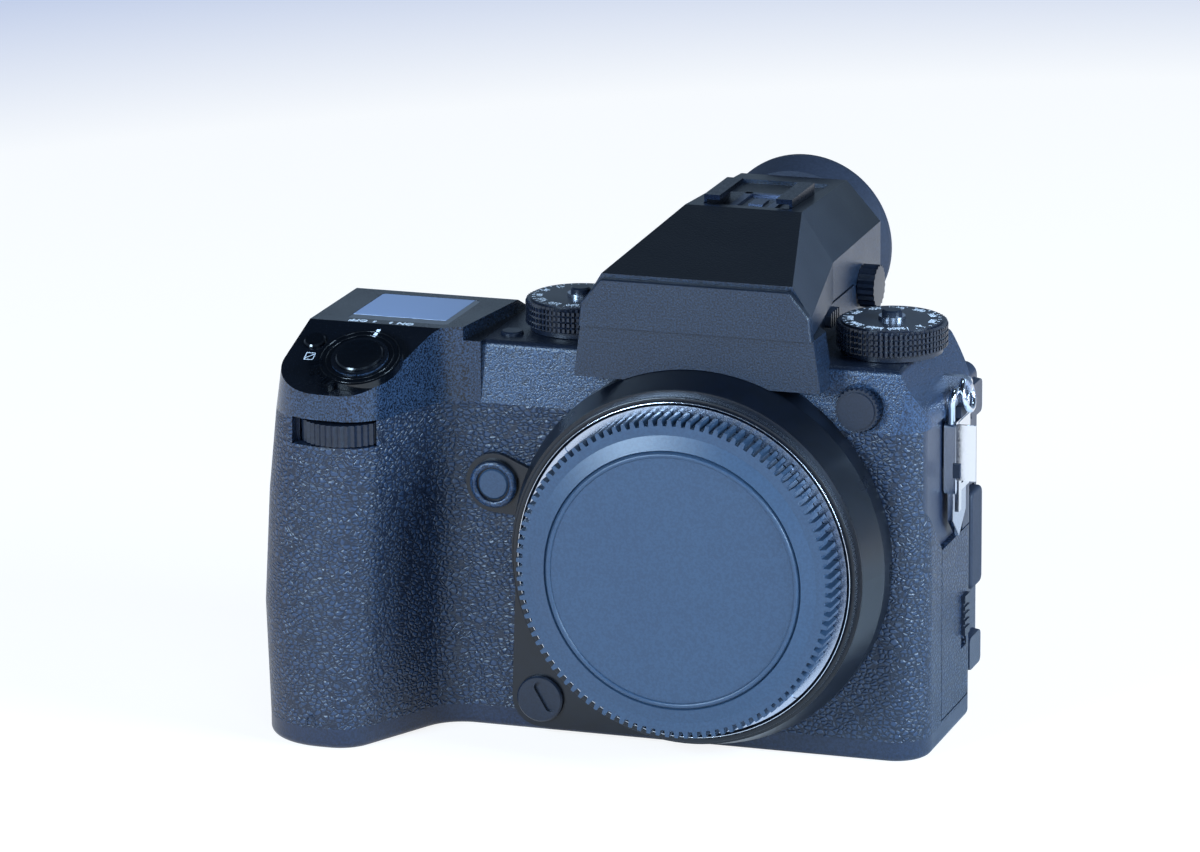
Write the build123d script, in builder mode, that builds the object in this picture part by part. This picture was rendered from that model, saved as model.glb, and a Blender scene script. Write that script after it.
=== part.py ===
from build123d import *
from math import atan2, cos, radians, sin, tan
import os

# A medium format camera body with its tilting finder unit on the shoe and a cap on the lens mount.
# Millimetres. X runs along the body, -X is the grip end. Y runs backwards, the lens side is -Y. Z is up.
# The origin is the mouth of the tripod socket, under the lens axis.

# Body shell
body_right = 48.5
front_y = -20.0
thin_back_y = 21.6
split_y = 12.0
base_seam_z = 4.6
cover_seam_z = 73.4
deck_z = 87.0
skin = 1.2
end_corner_r = 8.0
back_corner_r = 5.0
fit_gap = 0.3
run_fit = 0.06
overrun = 2.0

# Grip: its left side and its nose lean with height
finger_x = -59.0
finger_root_r = 9.0
grip_joint_x = -57.0
nose_inner_r = 9.0
grip_back_r = 8.0
grip_levels = [base_seam_z, 30.0, 55.0, cover_seam_z, 92.0]
grip_lefts = [-95.7, -96.3, -95.3, -93.2, -88.8]
nose_inner_xs = [-72.5, -71.0, -69.2, -68.4, -68.4]
grip_noses = [-46.4, -46.8, -45.6, -45.2, -45.2]
grip_corner_rs = [15.0, 15.0, 15.0, 14.0, 8.0]
beyond = 200.0

# Lens mount
lens_z = 44.3
throat_r = 32.5
throat_floor_y = -3.4
skirt_base_r = 41.8
skirt_base_y = -26.0
skirt_front_r = 39.3
skirt_front_y = -34.0
flange_r = 38.3
flange_y = -36.5
flange_thick = 2.0
ring_tail = 4.5
ring_tail_r = 34.9
function_boss_r = 6.6
function_boss_y = -21.4
function_root_r = 4.6
claw_r = 30.5
claw_thick = 1.8
claw_span = 60.0
claw_count = 3
mount_screw_r = 1.1
mount_screw_pcr = 35.6
mount_screw_count = 4

# Body cap
cap_rim_r = 35.2
cap_front_y = -43.7
cap_tooth_count = 104
cap_tooth_depth = 1.4
cap_tooth_shares = [0, 0.12, 0.48, 0.6]
cap_land_r = 31.8
cap_disc_r = 28.2
cap_rise = 0.9
cap_groove = 0.5
cap_wall = 1.8
cap_spigot_r = 30.1
cap_tab_r = 32.0
cap_tab_span = 48.0
cap_tab_thick = 1.8

# Sensor, shutter and board in the throat
sensor_y = -9.8
sensor_package = (48.0, 38.0)
sensor_active = (43.8, 32.9)
board_size = (50.0, 40.0)
board_thick = 1.6
shutter_r = 32.2
shutter_thick = 4.0
shutter_open = (46.0, 35.0)
contact_inner_r = 25.0
contact_outer_r = 32.3
contact_span = 62.0
contact_depth = 5.0
contact_pin_r = 0.7
contact_pin_count = 12
contact_step = 4.6

# Lens release button and its boss
release_x = -36.6
release_z = 8.8
release_r = 5.2
release_rise = 1.2
release_slot = (7.2, 2.3)
release_slot_place = (1.2, 0.6)
release_slot_depth = 0.8
release_slot_angle = 120.0
boss_r = 6.6
boss_front_y = -24.0

# Function button beside the mount
function_x = -47.6
function_z = 55.9
function_ring_r = 5.4
function_ring_y = -22.2
function_r = 3.4

# Sync terminal cap
sync_x = 34.3
sync_z = 78.6
sync_r = 4.9
sync_thick = 1.8
sync_stem_r = 2.4
sync_teeth = 28

# Top cover
cover_left = -51.0
cover_lean = 1.7
cover_edge_r = 1.6
shoulder_z = 76.4
shoulder_r = 8.0
shoulder_top_x = 42.6

# Top of the grip: a slope down to the nose and a raised frame round the top display
slope_top_y = -22.6
slope_top_z = 90.0
nose_front_y = -45.2
nose_top_z = 79.4
frame_back_y = 7.0
frame_back_z = 89.8
frame_right_front_x = -55.4
frame_right_back_x = -51.6
rear_shoulder_z = 82.0
top_display = 23.0
top_display_x = -70.4
top_display_y = -7.8
top_display_thick = 1.2
top_block_edge_r = 1.4

# Shutter button and the switch ring round it
shutter_x = -73.0
shutter_y = -35.0
shutter_boss_r = 6.3
switch_ring_r = 9.3
switch_ring_thick = 1.7
shutter_boss_rise = 2.1
shutter_button_r = 5.2
shutter_button_rise = 2.8
switch_tab_width = 6.0
switch_tab_reach = 11.2
switch_tab_count = 2
switch_tab_pitch = 42.0
switch_tab_angle = 200.0

# Small buttons
button_stem = 3.0
button_travel = 0.8
button_rise = 0.8
exposure_x = -85.6
exposure_y = -29.4
exposure_r = 2.4
small_button_r = 2.5
backlight_x = -45.6
backlight_y = 10.5
drive_x = -46.6
drive_y = -11.5
rear_button_r = 2.6
button_edge_r = 0.35

# Front command dial
front_dial_x = -76.3
front_dial_y = -36.4
front_dial_r = 9.6
front_dial_z = 68.1
front_dial_height = 4.7
front_dial_teeth = 40
front_window_half = 9.6
front_window_y = -41.0

# Rear command dial
rear_dial_x = -66.0
rear_dial_y = 15.4
rear_dial_r = 7.2
rear_dial_z = 66.6
rear_dial_height = 4.4
rear_dial_teeth = 32

# Top dials
speed_dial_x = -34.0
sensitivity_dial_x = 36.4
top_dial_y = -2.0
top_dial_r = 11.9
top_dial_top_z = 94.2
top_dial_band = 5.8
top_dial_skirt_r = 11.0
top_dial_teeth = 60
knurl_depth = 0.45
post_r = 2.9
post_top_z = 94.9
lock_r = 2.2
lock_rise = 1.3
lock_stem = 5.0

# Hump under the finder
hump_front_y = -26.4
hump_half_bottom = 27.6
hump_half_top = 26.0
hump_waist_y = -17.0
hump_back_half = 20.6
hump_waist_back_y = -9.0
hump_back_y = 24.0
hump_bottom_z = 82.8
finder_seam_z = 94.2
shoe_slot_half = 9.3
shoe_slot_depth = 2.0
shoe_lip_half = 6.2
shoe_lip = 1.5

# Finder unit
plate_front_y = -28.0
plate_thick = 2.0
plate_half_bottom = 26.0
plate_half_top = 20.9
plate_bevel_z = 99.6
plate_top_z = 105.0
finder_gap = 0.2
finder_waist_y = 8.0
finder_waist_half = 20.3
finder_waist_shoulder_z = 103.0
finder_waist_top_half = 13.2
finder_roof_z = 113.7
finder_front_rise = 0.8
finder_front_flare = 0.4
finder_back_y = 46.0
finder_back_half = 20.0
finder_back_shoulder_z = 103.4
finder_back_top_half = 12.2
finder_back_roof_z = 112.2
finder_drop_r = 7.0
finder_drop_z = 79.0
eye_z = 95.2
eye_tube_back_y = 49.4
eyecup_back_y = 56.6
eyecup_r = 20.1
eyecup_root_r = 17.0
eyecup_wall = 1.6
eyecup_lip = 2.4
eyecup_mouth_r = 14.6
eyepiece_r = 12.2
eyepiece_thick = 3.0
eyepiece_flat_r = 10.4
eyepiece_bevel = 0.6
eyepiece_y = 46.6
eye_ring_r = 16.4
shoe_front_y = 11.4
shoe_back_y = 28.4
shoe_top_z = 115.4
shoe_half = 10.0
shoe_base = 0.7
shoe_slot = 2.1
shoe_rail_inner = 9.3
shoe_rail_lip = 1.1
shoe_opening_half = 6.4
shoe_floor_front_y = 10.6
shoe_floor_back_y = 40.0
diopter_y = 31.0
diopter_z = 92.4
diopter_r = 4.8
diopter_thick = 3.8
diopter_teeth = 20
diopter_stem_r = 2.0
catch_y = 4.0
catch_z = 91.8
catch_size = (7.0, 3.4)
catch_rise = 1.4
catch_corner_r = 0.8

# Rear block and monitor
block_left = -50.0
block_right = 44.8
block_back_y = 38.4
block_top_z = 75.4
block_corner_r = 3.0
monitor_width = 77.0
monitor_height = 54.4
monitor_bottom_z = 11.0
monitor_x = 0.0
monitor_thick = 5.2
arm_thick = 1.4
arm_half = 20.0
arm_axis_z = 66.0
arm_low_z = 14.5
barrel_r = 1.0
small_barrel_r = 0.9
lug_width = 4.0
hinge_pin_r = 0.5
hinge_pin_length = 2.0
tilt_axis_z = 10.5
tilt_barrel_half = 15.7
bracket_half = 36.0
bracket_low_z = 15.0
bracket_high_z = 63.0
swing_axis_x = -39.6
swing_low_z = 20.3
swing_high_z = 55.7
swing_lug = 6.0
monitor_corner_r = 2.5
screen_width = 67.0
screen_height = 50.0
screen_thick = 1.0
bump_rise = 1.6
bump_height = 8.0
bump_low_z = 11.0
bump_high_z = 68.6

# Rear controls on the grip side
stick_x = -57.6
stick_z = 57.0
stick_r = 3.4
stick_well_r = 5.6
stick_rise = 2.6
stick_post_r = 1.4
stick_cap_thick = 1.8
selector_x = -64.5
selector_z = 36.0
selector_r = 8.6
selector_hole_r = 3.9
menu_r = 3.3
display_z = 19.0
lock_button_left_x = -81.6
lock_button_right_x = -55.4
lock_button_z = 69.4
play_x = 38.0
delete_x = 29.0
top_row_z = 71.2

# Thumb rest
thumb_x = -81.0
thumb_half = 6.0
thumb_low_z = 34.0
thumb_high_z = 62.0
thumb_rise = 3.2

# Battery, its chamber and its door at the right end
battery_size = (58.0, 18.8, 35.2)
battery_y = 10.2
battery_z = 24.6
battery_corner_r = 2.0
chamber_gap = 0.3
door_front_y = -4.6
door_back_y = 20.4
door_low_z = 5.2
door_high_z = 44.3
door_plate = 1.5
door_gap = 0.35
pocket_front_y = -16.0
pocket_side_z = 56.0
latch_y = 13.5
latch_z = 24.6
latch_depth = 1.0
latch_size = (4.0, 9.0)
latch_rise = 0.9
latch_travel = 3.0

# Memory cards and their door at the grip end
card_size = (32.0, 2.1, 24.0)
card_first_y = -2.0
card_pitch = 5.0
card_count = 2
card_z = 38.0
card_face_x = -92.2
card_door_front_y = -8.0
card_door_back_y = 11.4
card_door_low_z = 16.0
card_door_high_z = 60.0

# Ports on the rear block's end
port_cover_y = 31.0
port_cover_z = 37.0
port_cover_size = (9.6, 23.0)
port_cover_thick = 1.9
port_depth = 3.0
port_count = 3
port_pitch = 7.0
port_opening = (5.5, 3.0)

# Strap lugs and clip
lug_y = 5.0
lug_z = 78.4
lug_thick = 1.8
lug_eye_r = 2.3
lug_eye_xs = [50.0, -94.3]
lug_tail_xs = [43.0, -88.3]
clip_wire_r = 0.8
clip_loop_half = 8.0
clip_loop_foot_half = 4.6
clip_loop_corner_r = 2.0
clip_plate_x = 49.1
clip_plate_top_z = 71.6
clip_plate_bottom_z = 55.4
clip_plate_half = 6.0
clip_plate_thick = 2.6
clip_slot = (7.0, 3.4)
clip_slot_z = 58.6
clip_tip_z = 44.8
clip_tip_thick = 1.1
clip_tip_half = 5.4
clip_shoulder_z = 49.6

# Base plate, tripod bush and screws
base_edge_r = 1.6
socket_r = 3.175
socket_depth = 5.4
bush_r = 6.0
base_screw_r = 1.7
base_screw_depth = 3.0
base_screw_xs = [-83.4, -40.7, 14.6, 41.7]
base_screw_y = 14.0

out_dir = "parts"
os.makedirs(out_dir, exist_ok=True)


def lens_plane(y):
    return Plane(origin=(0, y, lens_z), x_dir=(1, 0, 0), z_dir=(0, -1, 0))


def case_face(level, inset):
    with BuildSketch(Plane.XY.offset(grip_levels[level])) as face:
        with BuildLine():
            FilletPolyline(
                (body_right, front_y),
                (finger_x, front_y),
                (nose_inner_xs[level], grip_noses[level]),
                (grip_lefts[level], grip_noses[level]),
                (grip_lefts[level], thin_back_y),
                (body_right, thin_back_y),
                radius=[end_corner_r, finger_root_r, nose_inner_r,
                        grip_corner_rs[level], grip_back_r, back_corner_r],
                close=True,
            )
        make_face()
        if inset:
            offset(amount=-inset)
    return face.sketch


def case_body(first, last, inset=0):
    with BuildPart() as body:
        loft([case_face(level, inset) for level in range(first, last + 1)], ruled=True)
    return body.part


def lens_disc(r, y_front, y_back):
    with BuildPart() as disc:
        with BuildSketch(lens_plane(y_back)):
            Circle(r)
        extrude(amount=y_back - y_front)
    return disc.part


def span_box(x, y, z):
    with BuildPart() as box:
        with BuildSketch(Plane.XY.offset(z[0])):
            with Locations(((x[0] + x[1]) / 2, (y[0] + y[1]) / 2)):
                Rectangle(x[1] - x[0], y[1] - y[0])
        extrude(amount=z[1] - z[0])
    return box.part


def well(plane, r, depth):
    with BuildPart() as hole:
        with BuildSketch(plane.offset(-depth)):
            Circle(r)
        extrude(amount=depth + overrun)
    return hole.part


def push_button(plane, r, rise=button_rise):
    with BuildPart() as button:
        with BuildSketch(plane.offset(-button_stem)):
            Circle(r)
        extrude(amount=button_stem + rise)
        chamfer(button.edges().group_by(SortBy.LENGTH)[-1].sort_by(Axis(plane.origin, plane.z_dir))[-1],
                button_edge_r)
    return button.part


def knurled(plane, r, height, teeth, depth, bore=0):
    turn = 360 / teeth
    with BuildPart() as wheel:
        with BuildSketch(plane):
            with BuildLine():
                corners = []
                for i in range(teeth):
                    for share, reach in ((0, r - depth), (0.5, r)):
                        angle = radians((i + share) * turn)
                        corners.append((reach * cos(angle), reach * sin(angle)))
                Polyline(*corners, close=True)
            make_face()
            if bore:
                Circle(bore, mode=Mode.SUBTRACT)
        extrude(amount=height)
    return wheel.part


def save(part, name):
    part.label = name
    export_step(part, f"{out_dir}/{name}.step")
    print(name, len(part.solids()), round(part.volume, 1))


def x_rod(r, y, z, half):
    with BuildPart() as rod:
        with BuildSketch(Plane.YZ.offset(-half)):
            with Locations((y, z)):
                Circle(r)
        extrude(amount=2 * half)
    return rod.part


def hinge_pins(y, z, half):
    return x_rod(hinge_pin_r, y, z, half + hinge_pin_length)


def hinge_bore(y, z, half):
    return x_rod(hinge_pin_r + run_fit, y, z, half + hinge_pin_length + fit_gap)


# Planes that pieces share
arm_front_y = block_back_y + fit_gap
arm_axis_y = arm_front_y + barrel_r
bracket_front_y = arm_front_y + arm_thick + fit_gap
tilt_axis_y = bracket_front_y + arm_thick / 2
monitor_front_y = bracket_front_y + arm_thick + fit_gap
swing_axis_y = bracket_front_y + arm_thick
slope_angle = atan2(slope_top_z - nose_top_z, slope_top_y - nose_front_y)
slope_normal = (0, -sin(slope_angle), cos(slope_angle))


def slope_point(x, y):
    rise = (y - nose_front_y) * (slope_top_z - nose_top_z) / (slope_top_y - nose_front_y)
    return (x, y, nose_top_z + rise)


def slope_plane(x, y):
    return Plane(origin=slope_point(x, y), x_dir=(1, 0, 0), z_dir=slope_normal)


frame_slope = atan2(frame_back_z - slope_top_z, frame_back_y - slope_top_y)
frame_z = slope_top_z + (top_display_y - slope_top_y) * tan(frame_slope)
frame_plane = Plane(origin=(top_display_x, top_display_y, frame_z), x_dir=(1, 0, 0),
                    z_dir=(0, -sin(frame_slope), cos(frame_slope)))


def back_plane(x, z, y=thin_back_y):
    return Plane(origin=(x, y, z), x_dir=(-1, 0, 0), z_dir=(0, 1, 0))


def front_plane(x, z, y=front_y):
    return Plane(origin=(x, y, z), x_dir=(1, 0, 0), z_dir=(0, -1, 0))


def deck_plane(x, y):
    return Plane(origin=(x, y, deck_z), x_dir=(1, 0, 0), z_dir=(0, 0, 1))


def well_for(plane, r, stem=button_stem):
    return well(plane, r + run_fit, stem + button_travel + fit_gap)


release_plane = front_plane(release_x, release_z, boss_front_y)
function_plane = front_plane(function_x, function_z, function_ring_y)
sync_plane = front_plane(sync_x, sync_z, front_y - fit_gap)
shutter_plane = slope_plane(shutter_x, shutter_y)
exposure_plane = slope_plane(exposure_x, exposure_y)
backlight_plane = deck_plane(backlight_x, backlight_y)
drive_plane = deck_plane(drive_x, drive_y)

catch_plane = Plane(origin=(hump_back_half, catch_y, catch_z), x_dir=(0, 1, 0), z_dir=(1, 0, 0))
diopter_plane = Plane(origin=(finder_back_half + fit_gap, diopter_y, diopter_z), x_dir=(0, 1, 0),
                      z_dir=(1, 0, 0))

# The whole case, and the same drawn in by the covering's thickness
case_outer = case_body(0, 3)
case_inner = case_body(0, 3, skin)
cap_outer = case_body(3, 4)
throat = lens_disc(throat_r, flange_y - overrun, throat_floor_y)
chamber = span_box(
    (body_right - skin - door_plate - chamber_gap - battery_size[0] - chamber_gap, body_right + overrun),
    (battery_y - battery_size[1] / 2 - chamber_gap, battery_y + battery_size[1] / 2 + chamber_gap),
    (battery_z - battery_size[2] / 2 - chamber_gap, battery_z + battery_size[2] / 2 + chamber_gap),
)
door_hole = span_box(
    (body_right - skin - door_plate - fit_gap, body_right + overrun),
    (door_front_y, door_back_y + door_gap),
    (door_low_z, door_high_z),
)
card_hole = span_box(
    (grip_lefts[0] - overrun, card_face_x - fit_gap),
    (card_door_front_y, card_door_back_y + door_gap),
    (card_door_low_z, card_door_high_z),
)
with BuildPart() as card_slots:
    with BuildSketch(Plane.XY.offset(card_z - card_size[2] / 2 - chamber_gap)):
        for i in range(card_count):
            with Locations((card_face_x + card_size[0] / 2, card_first_y + i * card_pitch)):
                Rectangle(card_size[0] + 2 * chamber_gap, card_size[1] + 2 * chamber_gap)
    extrude(amount=card_size[2] + 2 * chamber_gap)

front_dial_plane = Plane(origin=(front_dial_x, front_dial_y, front_dial_z), z_dir=(0, 0, 1))
with BuildPart() as front_dial_pocket:
    with BuildSketch(front_dial_plane.offset(-fit_gap)):
        Circle(front_dial_r + fit_gap)
        with Locations((0, front_window_y - front_dial_y - front_dial_r / 2)):
            Rectangle(2 * front_window_half, front_dial_r)
    extrude(amount=cover_seam_z - front_dial_z + 2 * fit_gap)

rear_dial_plane = Plane(origin=(rear_dial_x, rear_dial_y, rear_dial_z), z_dir=(0, 0, 1))
with BuildPart() as rear_dial_pocket:
    with BuildSketch(rear_dial_plane.offset(-fit_gap)):
        Circle(rear_dial_r + fit_gap)
    extrude(amount=rear_dial_height + 2 * fit_gap)

# The mount's footprint with its two bosses, which the covers and coverings leave free
def mount_web(x, z, r, y_front, root_r=skirt_base_r):
    root_share = (skirt_base_r - root_r) / (x ** 2 + (z - lens_z) ** 2) ** 0.5
    with BuildPart() as web:
        with BuildSketch(lens_plane(front_y + skin)) as outline:
            with Locations((x * root_share, (z - lens_z) * root_share)):
                Circle(root_r)
            with Locations((x, z - lens_z)):
                Circle(r)
            make_hull()
        extrude(amount=front_y + skin - y_front)
    return web.part


release_web = mount_web(release_x, release_z, boss_r, boss_front_y)
function_web = mount_web(function_x, function_z, function_boss_r, function_boss_y, function_root_r)
below_base = span_box((-beyond, beyond), (front_y, beyond), (0, base_seam_z))
with BuildPart() as mount_shadow:
    add(lens_disc(skirt_base_r, skirt_front_y, front_y + skin))
    add(release_web)
    add(function_web)

# Front cover: the rigid front half in two bonded castings, the grip's and the one with mount and sensor
with BuildPart() as front_cover:
    add(case_inner)
    add(span_box((-beyond, beyond), (split_y, beyond), (0, beyond)), mode=Mode.SUBTRACT)
    add(throat, mode=Mode.SUBTRACT)
    add(chamber, mode=Mode.SUBTRACT)
    add(door_hole, mode=Mode.SUBTRACT)
    add(card_hole, mode=Mode.SUBTRACT)
    add(card_slots.part, mode=Mode.SUBTRACT)
    add(front_dial_pocket.part, mode=Mode.SUBTRACT)
    add(rear_dial_pocket.part, mode=Mode.SUBTRACT)
    add(mount_shadow.part, mode=Mode.SUBTRACT)
    add(well_for(release_plane, release_r), mode=Mode.SUBTRACT)
    add(well_for(function_plane, function_r), mode=Mode.SUBTRACT)
    with BuildSketch(Plane.XY.offset(base_seam_z)):
        Circle(bush_r)
    extrude(amount=socket_depth + skin + fit_gap - base_seam_z, mode=Mode.SUBTRACT)
    split(bisect_by=Plane.YZ.offset(grip_joint_x), keep=Keep.BOTH)
save(front_cover.part, "front_cover")

# Coverings: the textured skin, one piece round the grip and one right of the mount
with BuildPart() as pocket_cut:
    with BuildSketch(Plane.YZ.offset(body_right - end_corner_r)):
        with BuildLine():
            Polyline(
                (pocket_front_y, cover_seam_z + overrun),
                (pocket_front_y, pocket_side_z),
                (door_front_y, door_high_z),
                (thin_back_y, door_high_z),
                (thin_back_y, cover_seam_z + overrun),
                close=True,
            )
        make_face()
    extrude(amount=end_corner_r + overrun)
with BuildPart() as front_coverings:
    add(case_outer)
    add(case_inner, mode=Mode.SUBTRACT)
    add(span_box((-beyond, beyond), (split_y, beyond), (0, beyond)), mode=Mode.SUBTRACT)
    add(mount_shadow.part, mode=Mode.SUBTRACT)
    add(pocket_cut.part, mode=Mode.SUBTRACT)
    add(door_hole, mode=Mode.SUBTRACT)
    add(card_hole, mode=Mode.SUBTRACT)
    add(front_dial_pocket.part, mode=Mode.SUBTRACT)
save(front_coverings.part, "front_coverings")

# Rear cover: the back half of the thin body with the thick block behind the sensor
with BuildPart() as rear_cover:
    add(case_outer)
    add(span_box((-beyond, beyond), (-beyond, split_y), (0, beyond)), mode=Mode.SUBTRACT)
    with BuildSketch(Plane.XZ.offset(-split_y)):
        with Locations(((block_left + block_right) / 2, (base_seam_z + block_top_z) / 2)):
            RectangleRounded(block_right - block_left, block_top_z - base_seam_z, block_corner_r)
    extrude(amount=-(block_back_y - split_y))
    back_edges = rear_cover.edges().filter_by(lambda e: abs(e.center().Y - block_back_y) < fit_gap)
    chamfer(back_edges, block_corner_r / 2)
    add(span_box((-beyond, beyond), (split_y, thin_back_y), (cover_seam_z, beyond)), mode=Mode.SUBTRACT)
    with BuildSketch(back_plane(thumb_x, (thumb_low_z + thumb_high_z) / 2)) as thumb_face:
        SlotOverall(thumb_high_z - thumb_low_z, 2 * thumb_half, rotation=90)
    extrude(amount=thumb_rise, taper=30)
    add(chamber, mode=Mode.SUBTRACT)
    add(door_hole, mode=Mode.SUBTRACT)
    add(rear_dial_pocket.part, mode=Mode.SUBTRACT)
    with BuildSketch(Plane.YZ.offset(block_right - port_depth)):
        with Locations((port_cover_y, port_cover_z)):
            RectangleRounded(port_cover_size[0], port_cover_size[1], port_cover_thick)
    extrude(amount=port_depth + overrun, mode=Mode.SUBTRACT)
    for x, z in ((lock_button_left_x, lock_button_z), (lock_button_right_x, lock_button_z),
                 (selector_x, display_z)):
        add(well_for(back_plane(x, z), rear_button_r), mode=Mode.SUBTRACT)
    for x in (play_x, delete_x):
        add(well_for(back_plane(x, top_row_z, block_back_y), rear_button_r), mode=Mode.SUBTRACT)
    add(well_for(back_plane(selector_x, selector_z), selector_r), mode=Mode.SUBTRACT)
    add(well(back_plane(stick_x, stick_z), stick_well_r, button_stem), mode=Mode.SUBTRACT)
    for z in (bump_high_z, bump_low_z):
        with BuildSketch(Plane.YZ.offset(block_right)):
            with Locations((port_cover_y, z)):
                RectangleRounded(port_cover_size[0], bump_height, bump_rise)
        extrude(amount=bump_rise, taper=10)
    for side in (-1, 1):
        lug_xs = sorted((side * (arm_half + fit_gap), side * (arm_half + fit_gap + lug_width)))
        add(span_box(lug_xs, (block_back_y, arm_axis_y + barrel_r), (arm_axis_z - barrel_r, arm_axis_z + barrel_r)))
    add(hinge_bore(arm_axis_y, arm_axis_z, arm_half), mode=Mode.SUBTRACT)
save(rear_cover.part, "rear_cover")

# Mount skirt: the black cone with its bosses for the release and function buttons
with BuildPart() as mount_skirt:
    with BuildSketch(Plane.XY.offset(lens_z)):
        with BuildLine():
            Polyline(
                (0, front_y + skin),
                (skirt_base_r, front_y + skin),
                (skirt_base_r, skirt_base_y),
                (skirt_front_r, skirt_front_y),
                (skirt_front_r, flange_y + flange_thick),
                (0, flange_y + flange_thick),
                close=True,
            )
        make_face()
    revolve(axis=Axis((0, 0, lens_z), (0, 1, 0)))
    add(release_web)
    add(function_web)
    with BuildSketch(front_plane(function_x, function_z, function_boss_y)):
        Circle(function_ring_r)
    extrude(amount=function_boss_y - function_ring_y)
    add(lens_disc(ring_tail_r, flange_y - overrun, front_y + skin), mode=Mode.SUBTRACT)
    add(below_base, mode=Mode.SUBTRACT)
    add(well_for(release_plane, release_r), mode=Mode.SUBTRACT)
    add(well_for(function_plane, function_r), mode=Mode.SUBTRACT)
save(mount_skirt.part, "mount_skirt")


def sector(r_in, r_out, start, span):
    with BuildSketch() as face:
        with BuildLine():
            outer = CenterArc((0, 0), r_out, start, span)
            inner = CenterArc((0, 0), r_in, start, span)
            Line(outer @ 0, inner @ 0)
            Line(outer @ 1, inner @ 1)
        make_face()
    return face.sketch


# Mount ring: the steel bayonet ring with three claws and its screws' holes
with BuildPart() as mount_ring:
    with BuildSketch(Plane.XY.offset(lens_z)):
        with BuildLine():
            Polyline(
                (throat_r, flange_y),
                (flange_r, flange_y),
                (flange_r, flange_y + flange_thick),
                (ring_tail_r, flange_y + flange_thick),
                (ring_tail_r, flange_y + flange_thick + ring_tail),
                (throat_r, flange_y + flange_thick + ring_tail),
                close=True,
            )
        make_face()
    revolve(axis=Axis((0, 0, lens_z), (0, 1, 0)))
    with BuildSketch(lens_plane(flange_y + claw_thick)):
        for i in range(claw_count):
            add(sector(claw_r, throat_r + fit_gap, i * 360 / claw_count, claw_span))
    extrude(amount=claw_thick)
    with BuildSketch(lens_plane(flange_y)):
        with PolarLocations(mount_screw_pcr, mount_screw_count, start_angle=45):
            Circle(mount_screw_r)
    extrude(amount=-flange_thick, mode=Mode.SUBTRACT)
save(mount_ring.part, "mount_ring")

# Body cap: a toothed rim round a raised disc, with a spigot and three tabs behind
cap_back_y = flange_y - fit_gap
cap_tab_start = (360 / claw_count - claw_span + cap_tab_span) / 2
with BuildPart() as body_cap:
    with BuildSketch(lens_plane(cap_back_y)):
        with BuildLine():
            corners = []
            root_r = cap_rim_r - cap_tooth_depth
            for i in range(cap_tooth_count):
                for share, reach in zip(cap_tooth_shares, (root_r, cap_rim_r, cap_rim_r, root_r)):
                    angle = radians((i + share) * 360 / cap_tooth_count)
                    corners.append((reach * cos(angle), reach * sin(angle)))
            Polyline(*corners, close=True)
        make_face()
    extrude(amount=cap_back_y - cap_front_y)
    with BuildSketch(Plane.XY.offset(lens_z)):
        with BuildLine():
            Polyline(
                (0, cap_front_y),
                (cap_land_r, cap_front_y),
                (cap_disc_r + cap_groove, cap_front_y - cap_rise),
                (cap_disc_r + cap_groove / 2, cap_front_y - cap_rise + cap_groove),
                (cap_disc_r, cap_front_y - cap_rise),
                (0, cap_front_y - cap_rise),
                close=True,
            )
        make_face()
    revolve(axis=Axis((0, 0, lens_z), (0, 1, 0)))
    add(lens_disc(cap_spigot_r, cap_back_y, flange_y + ring_tail))
    with BuildSketch(lens_plane(flange_y + ring_tail)):
        for i in range(claw_count):
            add(sector(cap_spigot_r - fit_gap, cap_tab_r, (i + 1) * 360 / claw_count - cap_tab_start, cap_tab_span))
    extrude(amount=cap_tab_thick)
    add(lens_disc(cap_spigot_r - cap_wall, cap_front_y + cap_wall - cap_rise, flange_y + ring_tail + overrun),
        mode=Mode.SUBTRACT)
save(body_cap.part, "body_cap")

# Image sensor: its package with the raised glass over the active area
with BuildPart() as image_sensor:
    with BuildSketch(lens_plane(throat_floor_y - board_thick)):
        Rectangle(*sensor_package)
    extrude(amount=throat_floor_y - board_thick - sensor_y - board_thick / 2)
    with BuildSketch(lens_plane(sensor_y + board_thick / 2)):
        Rectangle(*sensor_active)
    extrude(amount=board_thick / 2)
save(image_sensor.part, "image_sensor")

# Main board: carries the sensor against the throat's floor
with BuildPart() as main_board:
    with BuildSketch(lens_plane(throat_floor_y)):
        Rectangle(*board_size)
    extrude(amount=board_thick)
save(main_board.part, "main_board")

# Shutter unit: a round frame with the blades parked clear of its opening
with BuildPart() as shutter_unit:
    with BuildSketch(lens_plane(sensor_y - fit_gap)):
        Circle(shutter_r)
        Rectangle(*shutter_open, mode=Mode.SUBTRACT)
    extrude(amount=shutter_thick)
    with BuildSketch(lens_plane(sensor_y - fit_gap - shutter_thick)):
        for z in (-1, 1):
            with Locations((0, z * (shutter_open[1] / 2 + 2 * fit_gap + board_thick))):
                Rectangle(shutter_open[0], 2 * board_thick)
    extrude(amount=-board_thick / 2, mode=Mode.SUBTRACT)
save(shutter_unit.part, "shutter_unit")

# Lens contacts: a curved block low in the throat with a row of pins
contact_front_y = flange_y + flange_thick + ring_tail + fit_gap
with BuildPart() as lens_contacts:
    with BuildSketch(lens_plane(contact_front_y + contact_depth)):
        add(sector(contact_inner_r, contact_outer_r, -90 - contact_span / 2, contact_span))
    extrude(amount=contact_depth)
    with BuildSketch(lens_plane(contact_front_y)):
        pin_ring_r = (contact_inner_r + contact_outer_r) / 2
        with PolarLocations(pin_ring_r, contact_pin_count,
                            start_angle=-90 - contact_step * (contact_pin_count - 1) / 2,
                            angular_range=contact_step * contact_pin_count):
            Circle(contact_pin_r)
    extrude(amount=contact_pin_r)
save(lens_contacts.part, "lens_contacts")

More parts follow.
